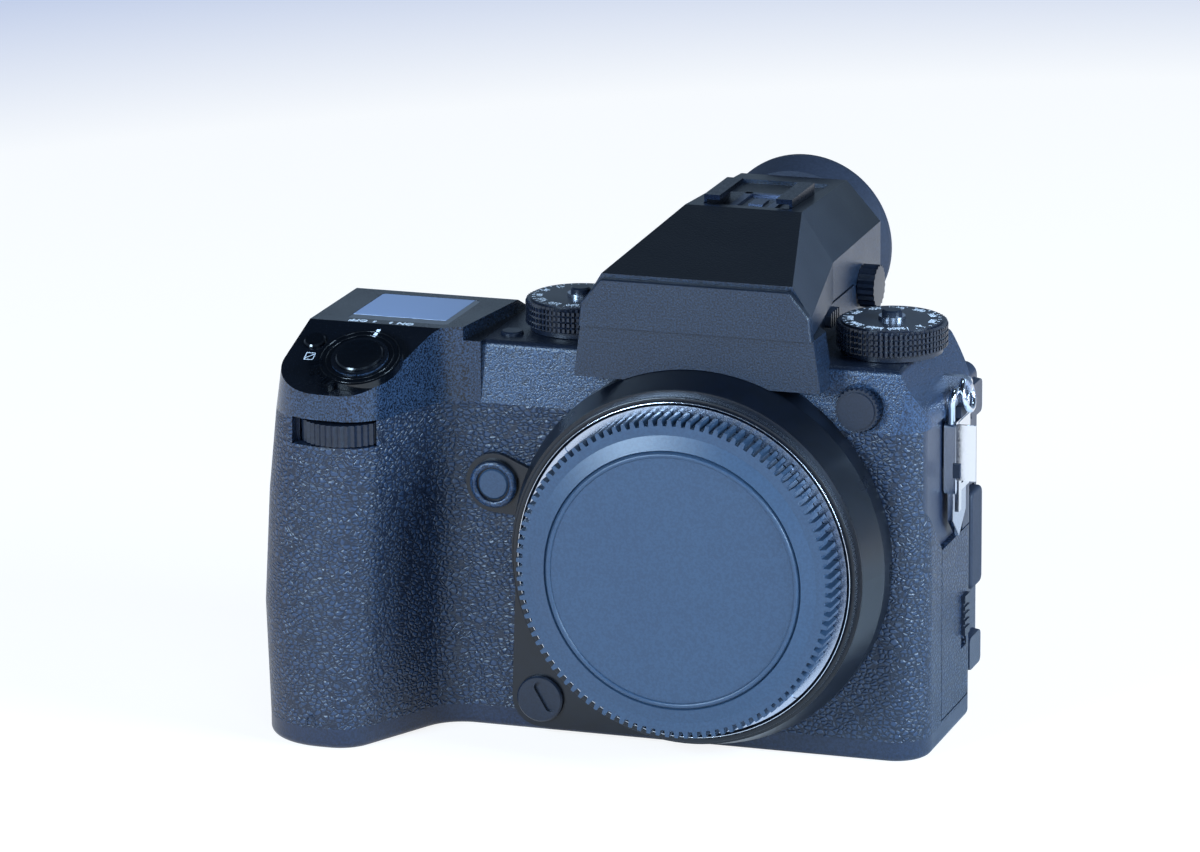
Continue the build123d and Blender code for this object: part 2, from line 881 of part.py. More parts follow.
# Lens release button with a slot for the finger, and the function button
with BuildPart() as lens_release_button:
    add(push_button(release_plane, release_r, release_rise))
    with BuildSketch(release_plane.offset(release_rise)):
        with Locations(release_slot_place):
            SlotOverall(*release_slot, rotation=release_slot_angle)
    extrude(amount=-release_slot_depth, mode=Mode.SUBTRACT)
save(lens_release_button.part, "lens_release_button")
save(push_button(function_plane, function_r, button_rise / 2), "front_function_button")

# Sync terminal cap: a knurled screw cap with its stem in the front of the top cover
with BuildPart() as sync_cap:
    add(knurled(sync_plane, sync_r, sync_thick, sync_teeth, knurl_depth))
    with BuildSketch(sync_plane.offset(sync_thick)):
        Circle(sync_r - 2 * knurl_depth)
    extrude(amount=knurl_depth)
    with BuildSketch(sync_plane):
        Circle(sync_stem_r)
    extrude(amount=-button_stem)
save(sync_cap.part, "sync_cap")

# Base plate with the tripod bush and the screws that close the case
with BuildPart() as base_plate:
    with BuildSketch() as base_outline:
        add(case_face(0, 0).moved(Location((0, 0, -base_seam_z))))
    extrude(amount=base_seam_z)
    fillet(base_plate.edges().group_by(Axis.Z)[0], base_edge_r)
    with BuildSketch():
        Circle(bush_r)
    extrude(amount=base_seam_z, mode=Mode.SUBTRACT)
    base_places = [(x, base_screw_y) for x in base_screw_xs]
    with BuildSketch():
        with Locations(*base_places):
            Circle(base_screw_r)
    extrude(amount=base_screw_depth, mode=Mode.SUBTRACT)
save(base_plate.part, "base_plate")

with BuildPart() as tripod_bush:
    with BuildSketch():
        Circle(bush_r)
        Circle(socket_r, mode=Mode.SUBTRACT)
    extrude(amount=base_seam_z)
    with BuildSketch(Plane.XY.offset(base_seam_z)):
        Circle(bush_r)
        Circle(socket_r, mode=Mode.SUBTRACT)
    extrude(amount=socket_depth - base_seam_z)
    with BuildSketch(Plane.XY.offset(socket_depth)):
        Circle(bush_r)
    extrude(amount=skin)
save(tripod_bush.part, "tripod_bush")

with BuildPart() as screws:
    with BuildSketch(Plane.XY.offset(base_screw_depth - base_screw_r)):
        with Locations(*base_places):
            Circle(base_screw_r)
    extrude(amount=base_screw_r)
    with BuildSketch(lens_plane(flange_y + flange_thick)):
        with PolarLocations(mount_screw_pcr, mount_screw_count, start_angle=45):
            Circle(mount_screw_r)
    extrude(amount=flange_thick - fit_gap)
save(screws.part, "screws")

# Strap lugs: an eye plate let into the cover at each end
with BuildPart() as strap_lugs:
    for eye_x, tail_x in zip(lug_eye_xs, lug_tail_xs):
        with BuildSketch(Plane.XZ.offset(-lug_y - lug_thick / 2)):
            with Locations(((eye_x + tail_x) / 2, lug_z)):
                Rectangle(abs(eye_x - tail_x), 2 * lug_eye_r)
            with Locations((eye_x, lug_z)):
                Circle(lug_eye_r)
                Circle(clip_wire_r + run_fit, mode=Mode.SUBTRACT)
        extrude(amount=lug_thick)
save(strap_lugs.part, "strap_lugs")


# Hump: the wide front stands over the mount, the waist leaves room for the dials
def hump_face(z, half):
    with BuildSketch(Plane.XY.offset(z)) as face:
        with BuildLine():
            Polyline(
                (-half, hump_front_y),
                (half, hump_front_y),
                (half, hump_waist_y),
                (hump_back_half, hump_waist_back_y),
                (hump_back_half, hump_back_y),
                (-hump_back_half, hump_back_y),
                (-hump_back_half, hump_waist_back_y),
                (-half, hump_waist_y),
                close=True,
            )
        make_face()
    return face.sketch


with BuildPart() as hump_solid:
    loft([hump_face(hump_bottom_z, hump_half_bottom), hump_face(finder_seam_z, hump_half_top)], ruled=True)
with BuildPart() as hump_cover:
    add(hump_solid.part)
    add(mount_shadow.part, mode=Mode.SUBTRACT)
    for half, low, high in ((shoe_slot_half, shoe_lip + shoe_slot_depth, shoe_lip), (shoe_lip_half, shoe_lip, 0)):
        add(span_box((-half, half), (hump_waist_back_y, hump_back_y + overrun),
                     (finder_seam_z - low, finder_seam_z - high + (0 if high else overrun))), mode=Mode.SUBTRACT)
    with BuildSketch(catch_plane.offset(-button_stem - button_travel - fit_gap)):
        RectangleRounded(catch_size[0] + 2 * run_fit, catch_size[1] + 2 * run_fit, catch_corner_r)
    extrude(amount=button_stem + button_travel + overrun, mode=Mode.SUBTRACT)
save(hump_cover.part, "hump_cover")

with BuildPart() as finder_catch:
    with BuildSketch(catch_plane.offset(-button_stem)):
        RectangleRounded(catch_size[0], catch_size[1], catch_corner_r)
    extrude(amount=button_stem + catch_rise)
    with BuildSketch(catch_plane.offset(catch_rise)):
        with GridLocations(2 * catch_corner_r, 0, 4, 1):
            Rectangle(catch_corner_r, catch_size[1])
    extrude(amount=-button_edge_r, mode=Mode.SUBTRACT)
save(finder_catch.part, "finder_catch")

# Top cover: the metal band over the coverings and the deck that carries the dials
with BuildPart() as top_cover:
    with BuildSketch(Plane.YZ.offset(cover_left)):
        with BuildLine():
            FilletPolyline(
                (front_y, cover_seam_z),
                (front_y + cover_lean, deck_z),
                (thin_back_y, deck_z),
                (thin_back_y, cover_seam_z),
                radius=[0, cover_edge_r, cover_edge_r, 0],
                close=True,
            )
        make_face()
    extrude(amount=body_right - cover_left)
    with BuildSketch(Plane.XY.offset(cover_seam_z)):
        add(case_face(3, 0).moved(Location((0, 0, -cover_seam_z))))
    extrude(amount=deck_z - cover_seam_z, mode=Mode.INTERSECT)
    with BuildSketch(Plane.XZ.offset(-thin_back_y)):
        with BuildLine():
            FilletPolyline(
                (cover_left, cover_seam_z),
                (body_right, cover_seam_z),
                (body_right, shoulder_z),
                (shoulder_top_x, deck_z),
                (cover_left, deck_z),
                radius=[0, 0, shoulder_r, cover_edge_r, 0],
                close=True,
            )
        make_face()
    extrude(amount=thin_back_y - front_y, mode=Mode.INTERSECT)
    add(hump_solid.part, mode=Mode.SUBTRACT)
    add(mount_shadow.part, mode=Mode.SUBTRACT)
    add(throat, mode=Mode.SUBTRACT)
    add(well(sync_plane.offset(-button_stem), sync_stem_r + run_fit, fit_gap), mode=Mode.SUBTRACT)
    with BuildSketch(front_plane(sync_x, sync_z, front_y + cover_lean)):
        Circle(sync_r + fit_gap)
    extrude(amount=overrun, mode=Mode.SUBTRACT)
    with BuildSketch(front_plane(sync_x, sync_z, sync_plane.origin.Y)):
        Circle(sync_stem_r + run_fit)
    extrude(amount=-(button_stem + fit_gap), mode=Mode.SUBTRACT)
    for plane in (backlight_plane, drive_plane):
        add(well_for(plane, small_button_r), mode=Mode.SUBTRACT)
    add(strap_lugs.part, mode=Mode.SUBTRACT)
save(top_cover.part, "top_cover")

# Grip top cover: nose, slope and the frame of the top display
with BuildPart() as grip_top_cover:
    with BuildSketch(Plane.YZ.offset(grip_lefts[0])):
        with BuildLine():
            FilletPolyline(
                (grip_noses[1], cover_seam_z),
                (grip_noses[1], nose_top_z - (nose_front_y - grip_noses[1]) * tan(slope_angle)),
                (slope_top_y, slope_top_z),
                (frame_back_y, frame_back_z),
                (thin_back_y - overrun, rear_shoulder_z + overrun),
                (thin_back_y, rear_shoulder_z),
                (thin_back_y, cover_seam_z),
                radius=[0, top_block_edge_r, fit_gap, top_block_edge_r, top_block_edge_r, fit_gap, 0],
                close=True,
            )
        make_face()
    extrude(amount=cover_left - grip_lefts[0])
    add(cap_outer, mode=Mode.INTERSECT)
    with BuildSketch(Plane.XY.offset(deck_z)):
        with BuildLine():
            Polyline(
                (cover_left + overrun, slope_top_y - overrun),
                (frame_right_front_x, slope_top_y - overrun),
                (frame_right_back_x, frame_back_y),
                (cover_left - fit_gap, thin_back_y + overrun),
                (cover_left + overrun, thin_back_y + overrun),
                close=True,
            )
        make_face()
    extrude(amount=slope_top_z - deck_z + overrun, mode=Mode.SUBTRACT)
    with BuildSketch(frame_plane.offset(-top_display_thick)):
        RectangleRounded(top_display + run_fit, top_display + run_fit, top_block_edge_r)
    extrude(amount=top_display_thick + overrun, mode=Mode.SUBTRACT)
    add(well_for(exposure_plane, exposure_r), mode=Mode.SUBTRACT)
    with BuildSketch(shutter_plane):
        Circle(shutter_boss_r)
    extrude(amount=shutter_boss_rise)
    add(well(shutter_plane, shutter_button_r + run_fit, button_stem + button_travel), mode=Mode.SUBTRACT)
    add(well(shutter_plane.offset(shutter_boss_rise), shutter_button_r + run_fit, overrun), mode=Mode.SUBTRACT)
    add(front_dial_pocket.part, mode=Mode.SUBTRACT)
    add(strap_lugs.part, mode=Mode.SUBTRACT)
save(grip_top_cover.part, "grip_top_cover")

with BuildPart() as top_display_glass:
    with BuildSketch(frame_plane.offset(-top_display_thick)):
        RectangleRounded(top_display, top_display, top_block_edge_r)
    extrude(amount=top_display_thick - run_fit)
save(top_display_glass.part, "top_display_glass")

# Switch ring with its two ribbed tabs, and the dished shutter button inside it
with BuildPart() as power_switch:
    with BuildSketch(shutter_plane.offset(run_fit)):
        Circle(switch_ring_r)
        for i in range(switch_tab_count):
            with PolarLocations(switch_tab_reach / 2, 1, start_angle=switch_tab_angle + i * switch_tab_pitch):
                Rectangle(switch_tab_reach, switch_tab_width / 2)
        Circle(shutter_boss_r + run_fit, mode=Mode.SUBTRACT)
    extrude(amount=switch_ring_thick)
save(power_switch.part, "power_switch")

with BuildPart() as shutter_button:
    with BuildSketch(shutter_plane.offset(-button_stem)):
        Circle(shutter_button_r)
    extrude(amount=button_stem + shutter_button_rise)
    rims = shutter_button.edges().group_by(SortBy.LENGTH)[-1]
    chamfer(rims.sort_by(Axis(shutter_plane.origin, slope_normal))[-1], button_edge_r)
    dish_r = shutter_button_r ** 2 / button_rise
    dish = Sphere(dish_r, mode=Mode.PRIVATE)
    dish_at = shutter_plane.offset(shutter_button_rise + dish_r - button_rise / 2).origin
    add(dish.moved(Location(dish_at)), mode=Mode.SUBTRACT)
save(shutter_button.part, "shutter_button")

save(push_button(exposure_plane, exposure_r), "exposure_button")
save(push_button(backlight_plane, small_button_r), "backlight_button")
save(push_button(drive_plane, small_button_r), "drive_button")


# Command dials: knurled wheels that turn in pockets of the grip
front_wheel = knurled(front_dial_plane, front_dial_r, front_dial_height, front_dial_teeth, knurl_depth)
save(front_wheel, "front_command_dial")
rear_wheel = knurled(rear_dial_plane, rear_dial_r, rear_dial_height, rear_dial_teeth, knurl_depth)
save(rear_wheel, "rear_command_dial")

# Top dials turn on posts that stand on the deck, and a lock button slides in each post
with BuildPart() as dial_posts:
    with BuildSketch(Plane.XY.offset(deck_z)):
        with Locations((speed_dial_x, top_dial_y), (sensitivity_dial_x, top_dial_y)):
            Circle(post_r)
    extrude(amount=post_top_z - deck_z)
    with BuildSketch(Plane.XY.offset(post_top_z - lock_stem - button_travel - fit_gap)):
        with Locations((speed_dial_x, top_dial_y), (sensitivity_dial_x, top_dial_y)):
            Circle(lock_r + run_fit)
    extrude(amount=lock_stem + button_travel + overrun, mode=Mode.SUBTRACT)
save(dial_posts.part, "dial_posts")

for name, x in (("shutter_speed", speed_dial_x), ("sensitivity", sensitivity_dial_x)):
    band_z = top_dial_top_z - top_dial_band
    with BuildPart() as top_dial:
        with BuildSketch(Plane(origin=(x, top_dial_y, deck_z + fit_gap / 2))):
            Circle(top_dial_skirt_r)
        extrude(amount=band_z - deck_z - fit_gap / 2)
        add(knurled(Plane(origin=(x, top_dial_y, band_z)), top_dial_r, top_dial_band - button_edge_r,
                    top_dial_teeth, knurl_depth))
        with BuildSketch(Plane(origin=(x, top_dial_y, top_dial_top_z - button_edge_r))):
            Circle(top_dial_r - 2 * knurl_depth)
        extrude(amount=button_edge_r)
        with BuildSketch(Plane(origin=(x, top_dial_y, deck_z))):
            Circle(post_r + run_fit)
        extrude(amount=top_dial_top_z - deck_z, mode=Mode.SUBTRACT)
    save(top_dial.part, f"{name}_dial")
    with BuildPart() as lock_button:
        with BuildSketch(Plane(origin=(x, top_dial_y, post_top_z - lock_stem))):
            Circle(lock_r)
        extrude(amount=lock_stem + lock_rise)
        chamfer(lock_button.edges().group_by(Axis.Z)[-1], button_edge_r)
    save(lock_button.part, f"{name}_lock_button")


# Finder unit: a roof that rises from the front plate to the shoe, and the eyepiece block behind
def finder_face(y, half, shoulder_z, top_half, top_z):
    with BuildSketch(Plane.XZ.offset(-y)) as face:
        with BuildLine():
            Polyline(
                (-half, finder_seam_z + finder_gap),
                (half, finder_seam_z + finder_gap),
                (half, shoulder_z),
                (top_half, top_z),
                (-top_half, top_z),
                (-half, shoulder_z),
                close=True,
            )
        make_face()
    return face.sketch


plate_back_y = plate_front_y + plate_thick
waist = finder_face(finder_waist_y, finder_waist_half, finder_waist_shoulder_z, finder_waist_top_half,
                    finder_roof_z)
finder_back = finder_face(finder_back_y, finder_back_half, finder_back_shoulder_z, finder_back_top_half,
                          finder_back_roof_z)
plate_inset = skin / 2
with BuildPart() as finder_housing:
    loft([finder_face(plate_back_y, plate_half_bottom - plate_inset, plate_bevel_z - plate_inset,
                      plate_half_top + finder_front_flare, plate_top_z + finder_front_rise), waist], ruled=True)
    loft([waist, finder_back], ruled=True)
    with BuildSketch(Plane.XZ.offset(-hump_back_y - fit_gap)):
        with BuildLine():
            FilletPolyline(
                (-finder_back_half, finder_back_shoulder_z),
                (-finder_back_half, finder_drop_z),
                (finder_back_half, finder_drop_z),
                (finder_back_half, finder_back_shoulder_z),
                radius=[0, finder_drop_r, finder_drop_r, 0],
                close=True,
            )
        make_face()
    extrude(amount=-(finder_back_y - hump_back_y - fit_gap))
    with BuildSketch(Plane.XZ.offset(-finder_back_y)):
        with Locations((0, eye_z)):
            Circle(eye_ring_r)
    extrude(amount=-(eye_tube_back_y - finder_back_y))
    with BuildSketch(Plane.XZ.offset(-(eyepiece_y - eyepiece_thick))):
        with Locations((0, eye_z)):
            Circle(eyepiece_r + run_fit)
    extrude(amount=-(eye_tube_back_y - eyepiece_y + eyepiece_thick + overrun), mode=Mode.SUBTRACT)
    shoe_slot_top = shoe_top_z - shoe_rail_lip
    shoe_floor_z = shoe_slot_top - shoe_slot - shoe_base
    add(span_box((-shoe_half - run_fit, shoe_half + run_fit), (shoe_floor_front_y, shoe_floor_back_y),
                 (shoe_floor_z, finder_roof_z + overrun)), mode=Mode.SUBTRACT)
    foot_gap = finder_gap
    add(span_box((-shoe_lip_half + foot_gap, shoe_lip_half - foot_gap), (hump_waist_back_y + fit_gap, hump_back_y),
                 (finder_seam_z - shoe_lip - foot_gap, finder_seam_z + 2 * finder_gap)))
    add(span_box((-shoe_slot_half + foot_gap, shoe_slot_half - foot_gap),
                 (hump_waist_back_y + fit_gap, hump_back_y),
                 (finder_seam_z - shoe_lip - shoe_slot_depth + foot_gap, finder_seam_z - shoe_lip - foot_gap)))
    add(well(diopter_plane, diopter_stem_r + run_fit, button_stem + 2 * fit_gap), mode=Mode.SUBTRACT)
save(finder_housing.part, "finder_housing")

with BuildPart() as finder_front_plate:
    with BuildSketch(Plane.XZ.offset(-plate_back_y)):
        with BuildLine():
            FilletPolyline(
                (-plate_half_bottom, finder_seam_z + finder_gap),
                (plate_half_bottom, finder_seam_z + finder_gap),
                (plate_half_bottom - plate_inset, plate_bevel_z),
                (plate_half_top, plate_top_z),
                (-plate_half_top, plate_top_z),
                (-plate_half_bottom + plate_inset, plate_bevel_z),
                radius=[0, 0, skin, skin, skin, skin],
                close=True,
            )
        make_face()
    extrude(amount=plate_thick)
    front_edges = finder_front_plate.faces().sort_by(Axis.Y)[0].edges()
    chamfer(front_edges.filter_by(lambda e: e.center().Z > plate_bevel_z - skin), plate_inset / 2)
save(finder_front_plate.part, "finder_front_plate")

# Accessory shoe: a floor with two turned-in rails
with BuildPart() as accessory_shoe:
    with BuildSketch(Plane.XZ.offset(-shoe_front_y)):
        with BuildLine():
            Polyline(
                (-shoe_half, shoe_floor_z),
                (shoe_half, shoe_floor_z),
                (shoe_half, shoe_top_z),
                (shoe_opening_half, shoe_top_z),
                (shoe_opening_half, shoe_slot_top),
                (shoe_rail_inner, shoe_slot_top),
                (shoe_rail_inner, shoe_floor_z + shoe_base),
                (-shoe_rail_inner, shoe_floor_z + shoe_base),
                (-shoe_rail_inner, shoe_slot_top),
                (-shoe_opening_half, shoe_slot_top),
                (-shoe_opening_half, shoe_top_z),
                (-shoe_half, shoe_top_z),
                close=True,
            )
        make_face()
    extrude(amount=-(shoe_back_y - shoe_front_y))
save(accessory_shoe.part, "accessory_shoe")

# Eyecup: a soft flared ring, and the eyepiece lens with its bevelled face
with BuildPart() as eyecup:
    with BuildSketch(Plane.XY.offset(eye_z)):
        with BuildLine():
            Polyline(
                (eye_ring_r + run_fit, finder_back_y + fit_gap / 2),
                (eyecup_root_r + skin, finder_back_y + fit_gap / 2),
                (eyecup_r, eyecup_back_y - 2 * eyecup_wall),
                (eyecup_r, eyecup_back_y - eyecup_wall),
                (eyecup_r - eyecup_wall / 2, eyecup_back_y),
                (eyecup_r - eyecup_lip, eyecup_back_y),
                (eyecup_mouth_r, eye_tube_back_y + fit_gap + eyecup_wall),
                (eyecup_mouth_r, eye_tube_back_y + fit_gap),
                (eye_ring_r + run_fit, eye_tube_back_y + fit_gap),
                close=True,
            )
        make_face()
    revolve(axis=Axis((0, 0, eye_z), (0, 1, 0)))
save(eyecup.part, "eyecup")

with BuildPart() as eyepiece_lens:
    with BuildSketch(Plane.XY.offset(eye_z)):
        with BuildLine():
            Polyline(
                (0, eyepiece_y + eyepiece_bevel),
                (eyepiece_flat_r, eyepiece_y + eyepiece_bevel),
                (eyepiece_r, eyepiece_y),
                (eyepiece_r, eyepiece_y - eyepiece_thick),
                (0, eyepiece_y - eyepiece_thick),
                close=True,
            )
        make_face()
    revolve(axis=Axis((0, 0, eye_z), (0, 1, 0)))
save(eyepiece_lens.part, "eyepiece_lens")

# Diopter wheel on the finder's side
with BuildPart() as diopter_dial:
    add(knurled(diopter_plane, diopter_r, diopter_thick, diopter_teeth, knurl_depth))
    with BuildSketch(diopter_plane):
        Circle(diopter_stem_r)
    extrude(amount=-button_stem)
save(diopter_dial.part, "diopter_dial")

# Monitor: an arm hinged at its top, a bracket hinged at its foot and the housing hinged at its side
with BuildPart() as monitor_arm:
    add(span_box((-arm_half, arm_half), (arm_front_y, arm_front_y + arm_thick), (arm_low_z, arm_axis_z)))
    add(x_rod(barrel_r, arm_axis_y, arm_axis_z, arm_half))
    add(hinge_pins(arm_axis_y, arm_axis_z, arm_half))
    for side in (-1, 1):
        with BuildSketch(Plane.YZ.offset(side * (arm_half + tilt_barrel_half + fit_gap) / 2)):
            with BuildLine():
                Polyline(
                    (arm_front_y, arm_low_z),
                    (arm_front_y, tilt_axis_z - small_barrel_r),
                    (tilt_axis_y, tilt_axis_z - small_barrel_r),
                    (tilt_axis_y, tilt_axis_z + small_barrel_r),
                    (arm_front_y + arm_thick, tilt_axis_z + small_barrel_r),
                    (arm_front_y + arm_thick, arm_low_z),
                    close=True,
                )
            make_face()
            with Locations((tilt_axis_y, tilt_axis_z)):
                Circle(small_barrel_r)
        extrude(amount=(arm_half - tilt_barrel_half - fit_gap) / 2, both=True)
    add(hinge_bore(tilt_axis_y, tilt_axis_z, tilt_barrel_half), mode=Mode.SUBTRACT)
save(monitor_arm.part, "monitor_arm")

with BuildPart() as monitor_bracket:
    plate_ys = (bracket_front_y, bracket_front_y + arm_thick)
    add(span_box((-bracket_half, bracket_half), plate_ys, (bracket_low_z, bracket_high_z)))
    add(span_box((-tilt_barrel_half, tilt_barrel_half), plate_ys, (tilt_axis_z, bracket_low_z)))
    add(x_rod(small_barrel_r, tilt_axis_y, tilt_axis_z, tilt_barrel_half))
    add(hinge_pins(tilt_axis_y, tilt_axis_z, tilt_barrel_half))
    add(span_box((swing_axis_x, -bracket_half), plate_ys, (swing_low_z, swing_high_z)))
    with BuildSketch(Plane(origin=(swing_axis_x, swing_axis_y, swing_low_z))):
        Circle(small_barrel_r)
    extrude(amount=swing_high_z - swing_low_z)
    for z in (swing_low_z, swing_high_z - hinge_pin_length - fit_gap):
        with BuildSketch(Plane(origin=(swing_axis_x, swing_axis_y, z))):
            Circle(hinge_pin_r + run_fit)
        extrude(amount=hinge_pin_length + fit_gap, mode=Mode.SUBTRACT)
save(monitor_bracket.part, "monitor_bracket")

monitor_z = monitor_bottom_z + monitor_height / 2
monitor_back_y = monitor_front_y + monitor_thick
with BuildPart() as monitor_housing:
    with BuildSketch(back_plane(monitor_x, monitor_z, monitor_front_y)):
        RectangleRounded(monitor_width, monitor_height, monitor_corner_r)
    extrude(amount=monitor_thick)
    chamfer(monitor_housing.faces().sort_by(Axis.Y)[-1].edges(), button_rise)
    with BuildSketch(back_plane(monitor_x, monitor_z, monitor_back_y)):
        RectangleRounded(screen_width + 2 * run_fit, screen_height + 2 * run_fit, monitor_corner_r / 2)
    extrude(amount=-screen_thick, mode=Mode.SUBTRACT)
    for low, pin_z in ((swing_low_z - fit_gap - swing_lug, swing_low_z - fit_gap),
                       (swing_high_z + fit_gap, swing_high_z + fit_gap - hinge_pin_length - fit_gap)):
        with BuildSketch(Plane.XY.offset(low)):
            with Locations((swing_axis_x, swing_axis_y)):
                Circle(small_barrel_r)
            with Locations(((swing_axis_x - small_barrel_r + screen_thick + monitor_x - monitor_width / 2) / 2,
                            swing_axis_y + small_barrel_r / 2)):
                Rectangle(monitor_x - monitor_width / 2 + screen_thick - swing_axis_x + small_barrel_r,
                          small_barrel_r)
        extrude(amount=swing_lug)
        with BuildSketch(Plane(origin=(swing_axis_x, swing_axis_y, pin_z))):
            Circle(hinge_pin_r)
        extrude(amount=hinge_pin_length + fit_gap)
save(monitor_housing.part, "monitor_housing")

with BuildPart() as monitor_glass:
    with BuildSketch(back_plane(monitor_x, monitor_z, monitor_back_y - screen_thick)):
        RectangleRounded(screen_width, screen_height, monitor_corner_r / 2)
    extrude(amount=screen_thick)
save(monitor_glass.part, "monitor_glass")

# Rear controls: the focus stick, the selector ring round the menu button, and the buttons
with BuildPart() as focus_stick:
    with BuildSketch(back_plane(stick_x, stick_z, thin_back_y - button_stem + fit_gap)):
        Circle(stick_post_r)
    extrude(amount=button_stem - fit_gap + stick_rise)
    with BuildSketch(back_plane(stick_x, stick_z, thin_back_y + stick_rise - stick_cap_thick)):
        Circle(stick_r)
    extrude(amount=stick_cap_thick)
    chamfer(focus_stick.faces().sort_by(Axis.Y)[-1].edges(), button_edge_r)
save(focus_stick.part, "focus_stick")

with BuildPart() as selector_ring:
    add(push_button(back_plane(selector_x, selector_z), selector_r))
    with BuildSketch(back_plane(selector_x, selector_z, thin_back_y - button_stem)):
        Circle(selector_hole_r)
    extrude(amount=button_stem + button_rise, mode=Mode.SUBTRACT)
save(selector_ring.part, "selector_ring")
save(push_button(back_plane(selector_x, selector_z), menu_r), "menu_button")
save(push_button(back_plane(lock_button_left_x, lock_button_z), rear_button_r), "exposure_lock_button")
save(push_button(back_plane(lock_button_right_x, lock_button_z), rear_button_r), "focus_lock_button")
save(push_button(back_plane(selector_x, display_z), rear_button_r), "display_button")
save(push_button(back_plane(play_x, top_row_z, block_back_y), rear_button_r), "play_button")
save(push_button(back_plane(delete_x, top_row_z, block_back_y), rear_button_r), "delete_button")

# Battery in its chamber, the door over it and the latch that slides on the door
with BuildPart() as battery:
    with BuildSketch(Plane.YZ.offset(body_right - skin - door_plate - chamber_gap)):
        with Locations((battery_y, battery_z)):
            RectangleRounded(battery_size[1], battery_size[2], battery_corner_r)
    extrude(amount=-battery_size[0])
save(battery.part, "battery")

latch_slot = span_box(
    (body_right - latch_depth, body_right + overrun),
    (latch_y - latch_size[0] / 2 - run_fit, latch_y + latch_size[0] / 2 + run_fit),
    (latch_z - latch_size[1] / 2 - latch_travel - run_fit, latch_z + latch_size[1] / 2 + run_fit),
)
with BuildPart() as battery_door:
    add(case_outer)
    add(span_box((body_right - skin - door_plate, body_right + overrun),
                 (door_front_y + door_gap, door_back_y),
                 (door_low_z + door_gap, door_high_z - door_gap)), mode=Mode.INTERSECT)
    add(latch_slot, mode=Mode.SUBTRACT)
save(battery_door.part, "battery_door")

with BuildPart() as battery_latch:
    with BuildSketch(Plane.YZ.offset(body_right - latch_depth)):
        with Locations((latch_y, latch_z)):
            Rectangle(*latch_size)
    extrude(amount=latch_depth + latch_rise)
    with BuildSketch(Plane.YZ.offset(body_right + latch_rise)):
        with Locations((latch_y, latch_z)):
            with GridLocations(0, 2 * catch_corner_r, 1, 4):
                Rectangle(latch_size[0], catch_corner_r)
    extrude(amount=-button_edge_r, mode=Mode.SUBTRACT)
save(battery_latch.part, "battery_latch")

# Memory cards in their slots and the door at the grip's side
with BuildPart() as memory_cards:
    with BuildSketch(Plane.XY.offset(card_z - card_size[2] / 2)):
        for i in range(card_count):
            with Locations((card_face_x + card_size[0] / 2, card_first_y + i * card_pitch)):
                Rectangle(card_size[0], card_size[1])
    extrude(amount=card_size[2])
save(memory_cards.part, "memory_cards")

with BuildPart() as card_door:
    add(case_outer)
    add(span_box((grip_lefts[0] - overrun, card_face_x - 2 * fit_gap),
                 (card_door_front_y + door_gap, card_door_back_y),
                 (card_door_low_z + door_gap, card_door_high_z - door_gap)), mode=Mode.INTERSECT)
save(card_door.part, "card_door")

# Ports on the rear block's end, and the cover over them
with BuildPart() as port_sockets:
    with BuildSketch(Plane.YZ.offset(block_right - port_depth)):
        with Locations((port_cover_y, port_cover_z)):
            RectangleRounded(port_cover_size[0] - fit_gap, port_cover_size[1] - fit_gap, port_cover_thick)
            with GridLocations(0, port_pitch, 1, port_count):
                Rectangle(*port_opening, mode=Mode.SUBTRACT)
    extrude(amount=skin)
save(port_sockets.part, "port_sockets")

with BuildPart() as port_cover:
    with BuildSketch(Plane.YZ.offset(block_right - port_depth + skin + fit_gap)):
        with Locations((port_cover_y, port_cover_z)):
            RectangleRounded(port_cover_size[0] - 2 * fit_gap, port_cover_size[1] - 2 * fit_gap, port_cover_thick)
    extrude(amount=port_depth - skin - fit_gap + port_cover_thick)
    fillet(port_cover.faces().sort_by(Axis.X)[-1].edges(), button_rise)
save(port_cover.part, "port_cover")

# Strap clip: a wire loop through the right lug, a folded plate with a slot and a pointed tongue
loop_drop_x = clip_plate_x - lug_eye_xs[0]
loop_drop_z = clip_plate_top_z - skin - lug_z
loop_plane = Plane(origin=(lug_eye_xs[0], lug_y, lug_z), x_dir=(0, 1, 0), z_dir=(-loop_drop_z, 0, loop_drop_x))
loop_drop = (loop_drop_x ** 2 + loop_drop_z ** 2) ** 0.5
with BuildPart() as strap_clip:
    with BuildLine(loop_plane) as loop:
        FilletPolyline(
            (-clip_loop_foot_half, -loop_drop),
            (-clip_loop_half, 0),
            (clip_loop_half, 0),
            (clip_loop_foot_half, -loop_drop),
            radius=clip_loop_corner_r,
        )
    with BuildSketch(Plane(origin=loop.line @ 0, z_dir=loop.line % 0)):
        Circle(clip_wire_r)
    sweep()
    with BuildSketch(Plane.YZ.offset(clip_plate_x)):
        with Locations((lug_y, (clip_plate_top_z + clip_plate_bottom_z) / 2)):
            RectangleRounded(2 * clip_plate_half, clip_plate_top_z - clip_plate_bottom_z, skin)
        with Locations((lug_y, clip_slot_z)):
            RectangleRounded(clip_slot[0], clip_slot[1], skin, mode=Mode.SUBTRACT)
    extrude(amount=clip_plate_thick / 2, both=True)
    with BuildSketch(Plane.YZ.offset(clip_plate_x)):
        with BuildLine():
            Polyline(
                (lug_y - clip_tip_half, clip_plate_bottom_z + skin),
                (lug_y + clip_tip_half, clip_plate_bottom_z + skin),
                (lug_y + clip_tip_half, clip_shoulder_z),
                (lug_y, clip_tip_z),
                (lug_y - clip_tip_half, clip_shoulder_z),
                close=True,
            )
        make_face()
    extrude(amount=clip_tip_thick / 2, both=True)
save(strap_clip.part, "strap_clip")
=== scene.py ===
import bmesh
import bpy
from math import atan2, cos, pi, radians, sin
from mathutils import Matrix, Vector


